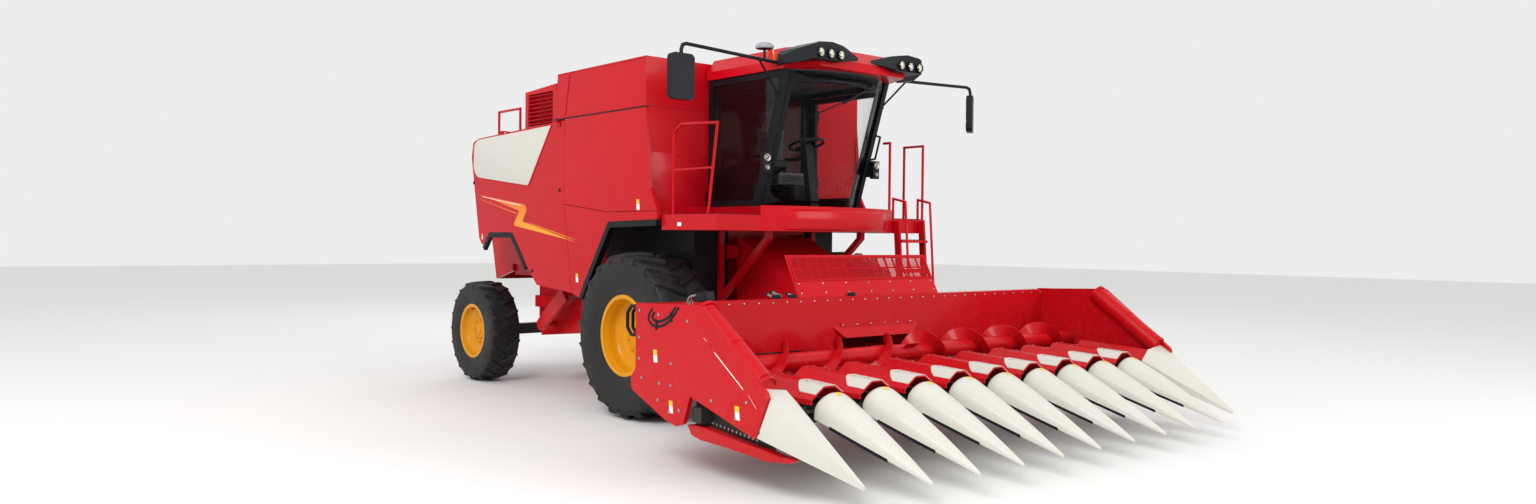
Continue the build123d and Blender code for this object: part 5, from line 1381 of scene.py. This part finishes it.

# %% [markdown]
# ## Under the platforms
# Black films on the body inside the wheel arches and under the platforms are painted shade: they
# make the arches look dark, and the red struts stand out before them.

# %% Painted shade in the arches
ARCH_SHADE_X, ARCH_SHADE_Y, ARCH_SHADE_FOOT = 1.05, -0.29, 1.155
arch_shade_outline = [(-0.289, ARCH_SHADE_FOOT), (0.48, ARCH_SHADE_FOOT), (1.45, ARCH_SHADE_FOOT), (1.45, 2.1), (-0.289, 2.1)]
# Black films painted as the shade inside the arches and under the platforms.
arch_shade_films = [on_side(side, arch_shade_outline, 0.001, ARCH_SHADE_X) for side in BOTH]
arch_shade_films += [cut_plate(oblong(0.567 * side, 1.0495 * side, ARCH_SHADE_FOOT, 2.028), "y", ARCH_SHADE_Y - 0.001, ARCH_SHADE_Y - 0.0002)
          for side in BOTH]
keep("underseal", arch_shade_films, black_trim, "machine")
print("underseal films:", len(arch_shade_films))

# %% [markdown]
# ### Apron behind the platforms
# A flat sheet closes the corner between cab and cheek, below the tank's sloping floor, and a strip
# carries the walkway up to it.

# %% Apron and strip
APRON_IN, APRON_OUT, APRON_FOOT, APRON_TOP = 0.8, 1.558, 2.186, 2.862
aprons, bolts = [], []
for side in BOTH:
    low, high = span(side, APRON_IN, APRON_OUT)
    aprons.append(cut_plate(oblong(low, high, APRON_FOOT, APRON_TOP), "y", -0.169, -0.1602, 0.002))
    aprons.append(cut_plate(oblong(low, high, -0.395, -0.166), "z", 2.18, 2.188))
    bolts += [(side * x, -0.1692, z) for x in (0.83, 1.18, 1.53) for z in (2.24, 2.835)]
keep("tank_aprons", aprons, red_enamel, "machine")
keep_heads("apron_bolts", bolts, "-y", 0.01, 0.006, black_trim, "machine")
print("aprons:", len(aprons))

# %% [markdown]
# ## The bow under the windscreen
# The skirt is a moulded bumper: a chamfered bulge that dies away at both ends. Its front follows
# the floor's arc, and one section is carried along it.

# %% Bumper
BOW_R, BOW_CENTRE, BOW_HALF, BOW_OUT, BOW_STEPS = 2.1208, 0.5608, 0.8, 0.045, 48
BOW_SECTION = [             # share of the bulge and height
    (-0.004, 2.262), (0.6, 2.238), (1.0, 2.168), (0.92, 2.12), (0.45, 2.052), (-0.004, 2.036),
]
rows = []
for i in range(BOW_STEPS + 1):
    x = BOW_HALF * (2 * i / BOW_STEPS - 1)
    swell = min(1.0, 0.02 + (BOW_HALF - abs(x)) / 0.16)
    swell = swell * swell * (3 - 2 * swell)
    front = BOW_CENTRE - math.sqrt(BOW_R ** 2 - x ** 2)
    rows.append([
        at(x, front - max(out, 0) * BOW_OUT * swell + (0.004 if out < 0 else 0), z) for out, z in BOW_SECTION
    ])
keep("skirt_bumper", swept(rows), red_enamel, "machine")
tag = cut_plate([(-1.5506, -0.735), (-1.5506, -0.67), (-1.5502, -0.67), (-1.5502, -0.735)], "z", 2.07, 2.108)
keep("platform_tag", tag, white_mark, "machine")
print("bumper sections:", len(rows))

# %% [markdown]
# ## Under the header's ends
# Each end carries a skid that runs on the ground; above it, the outer row unit's flank is a plate dark with painted
# shade.

# %% Skids, row flanks in painted shade, and couplers
SKID = [(-2.62, 0.43), (-2.68, 0.352), (-2.8, 0.33), (-3.17, 0.318), (-3.6, 0.29), (-3.86, 0.318), (-3.93, 0.35),
        (-3.74, 0.35), (-3.58, 0.372), (-3.2, 0.4), (-2.8, 0.44)]
FLANK_SHADE_OUTLINE = [(-2.62, 0.62), (-2.62, 0.42), (-2.8, 0.36), (-3.2, 0.34), (-3.56, 0.33), (-3.52, 0.4), (-3.4, 0.46),
         (-2.8, 0.62)]
keep("skids", [side_plate(side, SKID, 2.855, 2.77, 0.004) for side in BOTH], red_enamel, "header")
# The dark plate over each skid is the outer row unit's flank, darkened as painted shade.
keep("row_flanks", [side_plate(side, FLANK_SHADE_OUTLINE, 2.765, 2.7, 0.004) for side in BOTH], dark_iron, "header")
flank_row = between((-2.75, 0.475), (-3.4, 0.405), 14)
bolts = [heads([(side * 2.766, *spot) for spot in flank_row], OUTWARD[side], 0.013, 0.008, bright_steel)
         for side in BOTH]
keep("row_flank_bolts", bolts, bright_steel, "header")

COUPLERS = [(-1.4, 1.405), (-1.34, 1.425), (-1.28, 1.405), (-1.14, 1.405), (-0.33, 1.405)]     # (x, z)
bodies = [pipe([(x, -1.985, z), (x, -1.93, z + 0.012)], 0.014) for x, z in COUPLERS]
caps = [pipe([(x, -1.932, z + 0.011), (x, -1.905, z + 0.017)], 0.017) for x, z in COUPLERS]
caps += [cut_plate(oblong(x - 0.05, x + 0.05, 1.355, 1.415), "y", -1.994, -1.984) for x in (-1.34, -1.14, -0.33)]
keep("coupler_bodies", bodies, bright_steel, "header")
keep("coupler_caps", caps, black_trim, "header")
print("couplers:", len(COUPLERS))

# %% [markdown]
# ## The seat
# Air-sprung: sewn pads over a bellows. Each pad starts as a slightly small rounded block, is
# remeshed, blown up as cloth by a light pressure and then fitted to the space its solid holds. Sewn
# channels are pressed in afterwards, since remeshing would lose them.

# %% A cushion
CLOTH_FRAMES, CLOTH_PRESSURE = 20, 4.0


def inflated(made, mesh, cap):
    """Blow a mesh up as cloth for some frames, each point by no more than the cap."""
    rest = [v.co.copy() for v in mesh.vertices]
    cloth = made.modifiers.new("cloth", "CLOTH")
    cloth.settings.use_pressure = True
    cloth.settings.uniform_pressure_force = CLOTH_PRESSURE
    cloth.settings.effector_weights.gravity = 0.0
    for number in range(1, CLOTH_FRAMES + 1):
        scene.frame_set(number)
    mesh = settled(made)
    made.modifiers.clear()
    scene.frame_set(1)
    for v, old in zip(mesh.vertices, rest):
        step = v.co - old
        if step.length > cap:
            v.co = old + step.normalized() * cap
    return mesh


def blown(low, high, voxel=0.009, cap=0.026, shrink=0.016):
    """A crowned pad in a box (low, high): softened block, remesh, cloth pressure, fit to the box."""
    low, high = Vector(low), Vector(high)
    start = oblong(low.x + shrink, high.x - shrink, low.z + shrink, high.z - shrink)
    mesh = cut_plate(start, "y", low.y + shrink, high.y - shrink, 0.018)
    made = bpy.data.objects.new("pad", mesh)
    scene.collection.objects.link(made)
    fine = made.modifiers.new("remesh", "REMESH")
    fine.mode, fine.voxel_size = "VOXEL", voxel
    mesh = settled(made)
    made.modifiers.clear()
    made.data = mesh
    mesh = inflated(made, mesh, cap)
    bpy.data.objects.remove(made)
    for axis in range(3):       # fit to the box
        values = [v.co[axis] for v in mesh.vertices]
        lo, hi = min(values), max(values)
        want_lo, want_hi = at(*low)[axis], at(*high)[axis]
        for v in mesh.vertices:
            v.co[axis] = want_lo + (v.co[axis] - lo) * (want_hi - want_lo) / (hi - lo)
    return mesh


def channel(mesh, along, across, places, sign, depth=0.007, wide=0.009):
    """Press sewn channels into the face that looks along an axis's sign: lines at places across."""
    out = 3 - along - across
    top = max(sign * v.co[out] for v in mesh.vertices)
    for v in mesh.vertices:
        near = min(abs(v.co[across] - place) for place in places)
        if sign * v.co[out] > top - 0.05:
            v.co[out] -= sign * depth * math.exp(-(near / wide) ** 2)


# %% Pads, welts, bellows and arm rests
X, Y, Z = range(3)
scene.frame_set(1)
cushion = blown((-0.248, -0.758, 2.562), (0.248, -0.262, 2.688))
channel(cushion, Y, X, [at(x, 0, 0).x for x in (-0.16, 0.16)], 1)
channel(cushion, X, Y, [at(0, y, 0).y for y in (-0.63, -0.39)], 1)
backrest = blown((-0.238, -0.328, 2.695), (0.238, -0.217, 3.222))
channel(backrest, Z, X, [at(x, 0, 0).x for x in (-0.15, 0.15)], -1)
channel(backrest, X, Z, [at(0, 0, z).z for z in (2.85, 2.98, 3.11)], -1)
headrest = blown((-0.128, -0.318, 3.236), (0.128, -0.232, 3.398), 0.008)
for name, mesh in (("seat_cushion", cushion), ("seat_back", backrest), ("seat_headrest", headrest)):
    made = keep(name, mesh, seat_fabric, "machine")
    mesh.polygons.foreach_set("use_smooth", [True] * len(mesh.polygons))
    print(name, len(mesh.polygons), "faces")

welts = [[(x, y, 2.626) for x, y in oblong(-0.236, 0.236, -0.746, -0.274)],
         [(x, -0.273, z) for x, z in oblong(-0.226, 0.226, 2.706, 3.21)]]
keep("seat_welts", [pipe(welt, 0.0055, closed=True, sides=2) for welt in welts], black_trim, "machine")
BELLOWS_RING = ((-1, -0.7), (-0.7, -1), (0.7, -1), (1, -0.7), (1, 0.7), (0.7, 1), (-0.7, 1), (-1, 0.7))
folds = []
for i in range(25):             # the bellows round the suspension
    half = 0.165 if i % 2 else 0.195
    folds.append([at(u * half, -0.44 + v * (half - 0.02), 2.292 + 0.262 * i / 24) for u, v in BELLOWS_RING])
made = keep("seat_bellows", swept(folds), tyre_rubber, "machine")
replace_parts(made, "seat")
rests = []
for side in BOTH:
    rests.append(side_plate(side, oblong(-0.66, -0.3, 2.85, 2.888), 0.25, 0.3, 0.01))
    rests.append(side_plate(side, oblong(-0.32, -0.27, 2.7, 2.87), 0.25, 0.268, 0.004))
keep("arm_rests", rests, black_trim, "machine")
stems = [pipe([(side * 0.06, -0.275, 3.205), (side * 0.06, -0.275, 3.25)], 0.007, sides=2) for side in BOTH]
keep("headrest_stems", stems, bright_steel, "machine")

# %% [markdown]
# ## Hoses and the mouth's cover on the header
# At the right end two hoses leave the elbows and loop over the end sheet. They are clipped along a
# pressed channel, so only half their thickness stands proud. Over the feeder mouth a bolted cover
# leans forward.

# %% Hose loops and mouth cover
LOOPS = [                   # (y, z) of each hose on the right end sheet
    [(-2.58, 1.384), (-2.5, 1.3), (-2.4, 1.232), (-2.262, 1.2), (-2.16, 1.232), (-2.142, 1.3),
     (-2.205, 1.352)],
    [(-2.535, 1.384), (-2.455, 1.3), (-2.36, 1.262), (-2.272, 1.246), (-2.212, 1.266), (-2.204, 1.3),
     (-2.24, 1.322)],
]
loops = [pipe([(-2.91, y, z) for y, z in loop], 0.0175, smooth=True) for loop in LOOPS]
keep("clipped_hoses", loops, black_trim, "header")
clips = [cut_plate(oblong(y - 0.01, y + 0.01, z - 0.042, z + 0.042), "x", -2.9279, -2.919)
         for y, z in ((-2.478, 1.3), (-2.268, 1.222))]
keep("hose_clips", clips, black_trim, "header")

COVER = [(0.66, -2.0055, 1.14), (0.6, -2.05, 1.05), (0.5, -2.088, 0.972)]       # half width, y, z
rows = [[at(x, y, z) for x in (-half, 0.0, half)] for half, y, z in COVER]
rows += [[at(x, y + 0.005, z) for x in (-half, 0.0, half)] for half, y, z in reversed(COVER)]
cover = mesh_of(lambda bm: (net(bm, rows, closed_rows=True), bmesh.ops.holes_fill(bm, edges=bm.edges[:], sides=0)))
keep("mouth_cover", cover, red_enamel, "header")
spots = [(x, -2.0065, 1.122) for x in (-0.6, -0.4, -0.2, 0, 0.2, 0.4, 0.6)]
keep_heads("mouth_cover_bolts", spots, "-y", 0.011, 0.007, bright_steel, "header")
print("hose loops:", len(loops))

# %% [markdown]
# ## The rear
# The rear is finished after the type: slatted grilles on the engine bay and the straw hood, lamp
# surrounds and reflectors. Each lies on a face that is given as a line in the side view.

# %% Slats, lamp surrounds, reflectors
def on_face(start, end):
    """A function that gives (y, z) places on a face seen from the side: along it, and off it."""
    down = (Vector(end) - Vector(start)).normalized()
    out = Vector((-down.y, down.x))
    return lambda along, lift=0.0: tuple(Vector(start) + down * along + out * lift)


def slats(start, end, half, count, out, depth=0.014):
    """A slatted grille on a face that runs from start to end, both (y, z) seen from the side."""
    start, end, out = Vector(start), Vector(end), Vector(out) * depth
    along = (end - start).normalized()
    step = (end - start).length / count
    parts = []
    for i in range(count):
        foot = start + along * step * (i + 0.1)
        ring = [foot, foot + along * 0.35 * step + out, foot + along * 0.78 * step + out, foot + along * 0.78 * step]
        parts.append(cut_plate(ring, "x", -half, half))
    rim = [start, start + out, end + out, end]
    return parts + [cut_plate(rim, "x", x - 0.012, x + 0.012) for x in (-half, half)]


grilles = slats((3.8806, 2.985), (3.8806, 3.215), 0.78, 8, (1.0, 0.0), 0.012)
grilles += slats((4.735, 2.416), (4.85, 2.14), 0.52, 8, (0.923, 0.385))
keep("rear_grilles", grilles, black_trim, "machine")

surrounds = []
for side in BOTH:
    edge = [(side * u, 3.89, w) for u, w in oblong(1.281, 1.429, 2.851, 3.049)]
    surrounds.append(pipe(edge, 0.009, closed=True, sides=2))
    surrounds.append(pipe([(side * 1.285, 3.905, 2.95), (side * 1.425, 3.905, 2.95)], 0.005, sides=2))
keep("tail_lamp_surrounds", surrounds, black_trim, "machine")

hood_foot = on_face((4.95, 1.9), (4.8, 1.32))
strip = [hood_foot(0.44, 0.0005), hood_foot(0.44, 0.007), hood_foot(0.51, 0.007), hood_foot(0.51, 0.0005)]
keep("rear_reflectors", [side_plate(side, strip, 0.62, 0.74) for side in BOTH], red_lens, "machine")
print("rear slats and rims:", len(grilles))

# %% [markdown]
# ## The unloading tube and the walkways
# The tube is made of lengths joined by flanged clamps and ends in a rubber spout. The walkways and
# the ladder's steps carry black ribbed mats.

# %% Clamps, spout, mats
TUBE_X, TUBE_Z, TUBE_REACH = 1.25, 3.56, 0.15
section = [(-0.016, TUBE_REACH - 0.002), (-0.016, TUBE_REACH + 0.006), (0.016, TUBE_REACH + 0.006),
           (0.016, TUBE_REACH - 0.002)]
turns = [2 * math.pi * i / 40 for i in range(40)]
clamps = [
    ringed([[at(TUBE_X - r * math.sin(t), y + u, TUBE_Z + r * math.cos(t)) for u, r in section] for t in turns])
    for y in (2.3, 3.1, 3.9, 4.52)
]
keep("unloader_clamps", clamps, dark_iron, "unloader")

mats, ribs = [], []
for side in BOTH:
    low, high = span(side, 0.81, 1.52)
    mats.append(cut_plate(oblong(low, high, -1.295, -0.43), "z", 2.1905, 2.1945))
    ribs += [cut_plate(oblong(y, y + 0.012, 2.194, 2.1975), "x", low + 0.01, high - 0.01)
             for y in (-1.285 + 0.04 * i for i in range(21))]
for i in range(5):              # the ladder's steps, which lean back as they rise
    z = 0.56 + 0.34 * i
    y = -1.47 + (-1.335 + 1.47) * (z - 0.48) / (2.17 - 0.48)
    mats.append(cut_plate(oblong(1.045, 1.425, y - 0.095, y + 0.005), "z", z + 0.0305, z + 0.034))
    ribs += [cut_plate(oblong(y - 0.09 + u, y - 0.082 + u, z + 0.0335, z + 0.0375), "x", 1.05, 1.42)
             for u in (0.0, 0.022, 0.044, 0.066)]
keep("walkway_mats", mats + ribs, black_trim, "machine")
print("mats:", len(mats))

bend, end_point = at(TUBE_X, 4.94, TUBE_Z), at(TUBE_X, 5.2, 3.37)
aim = (end_point - bend).normalized()
spout = pipe([bend + aim * 0.13, end_point + aim * 0.001], TUBE_REACH + 0.005, sides=8)
keep("rubber_spout", spout, tyre_rubber, "unloader")
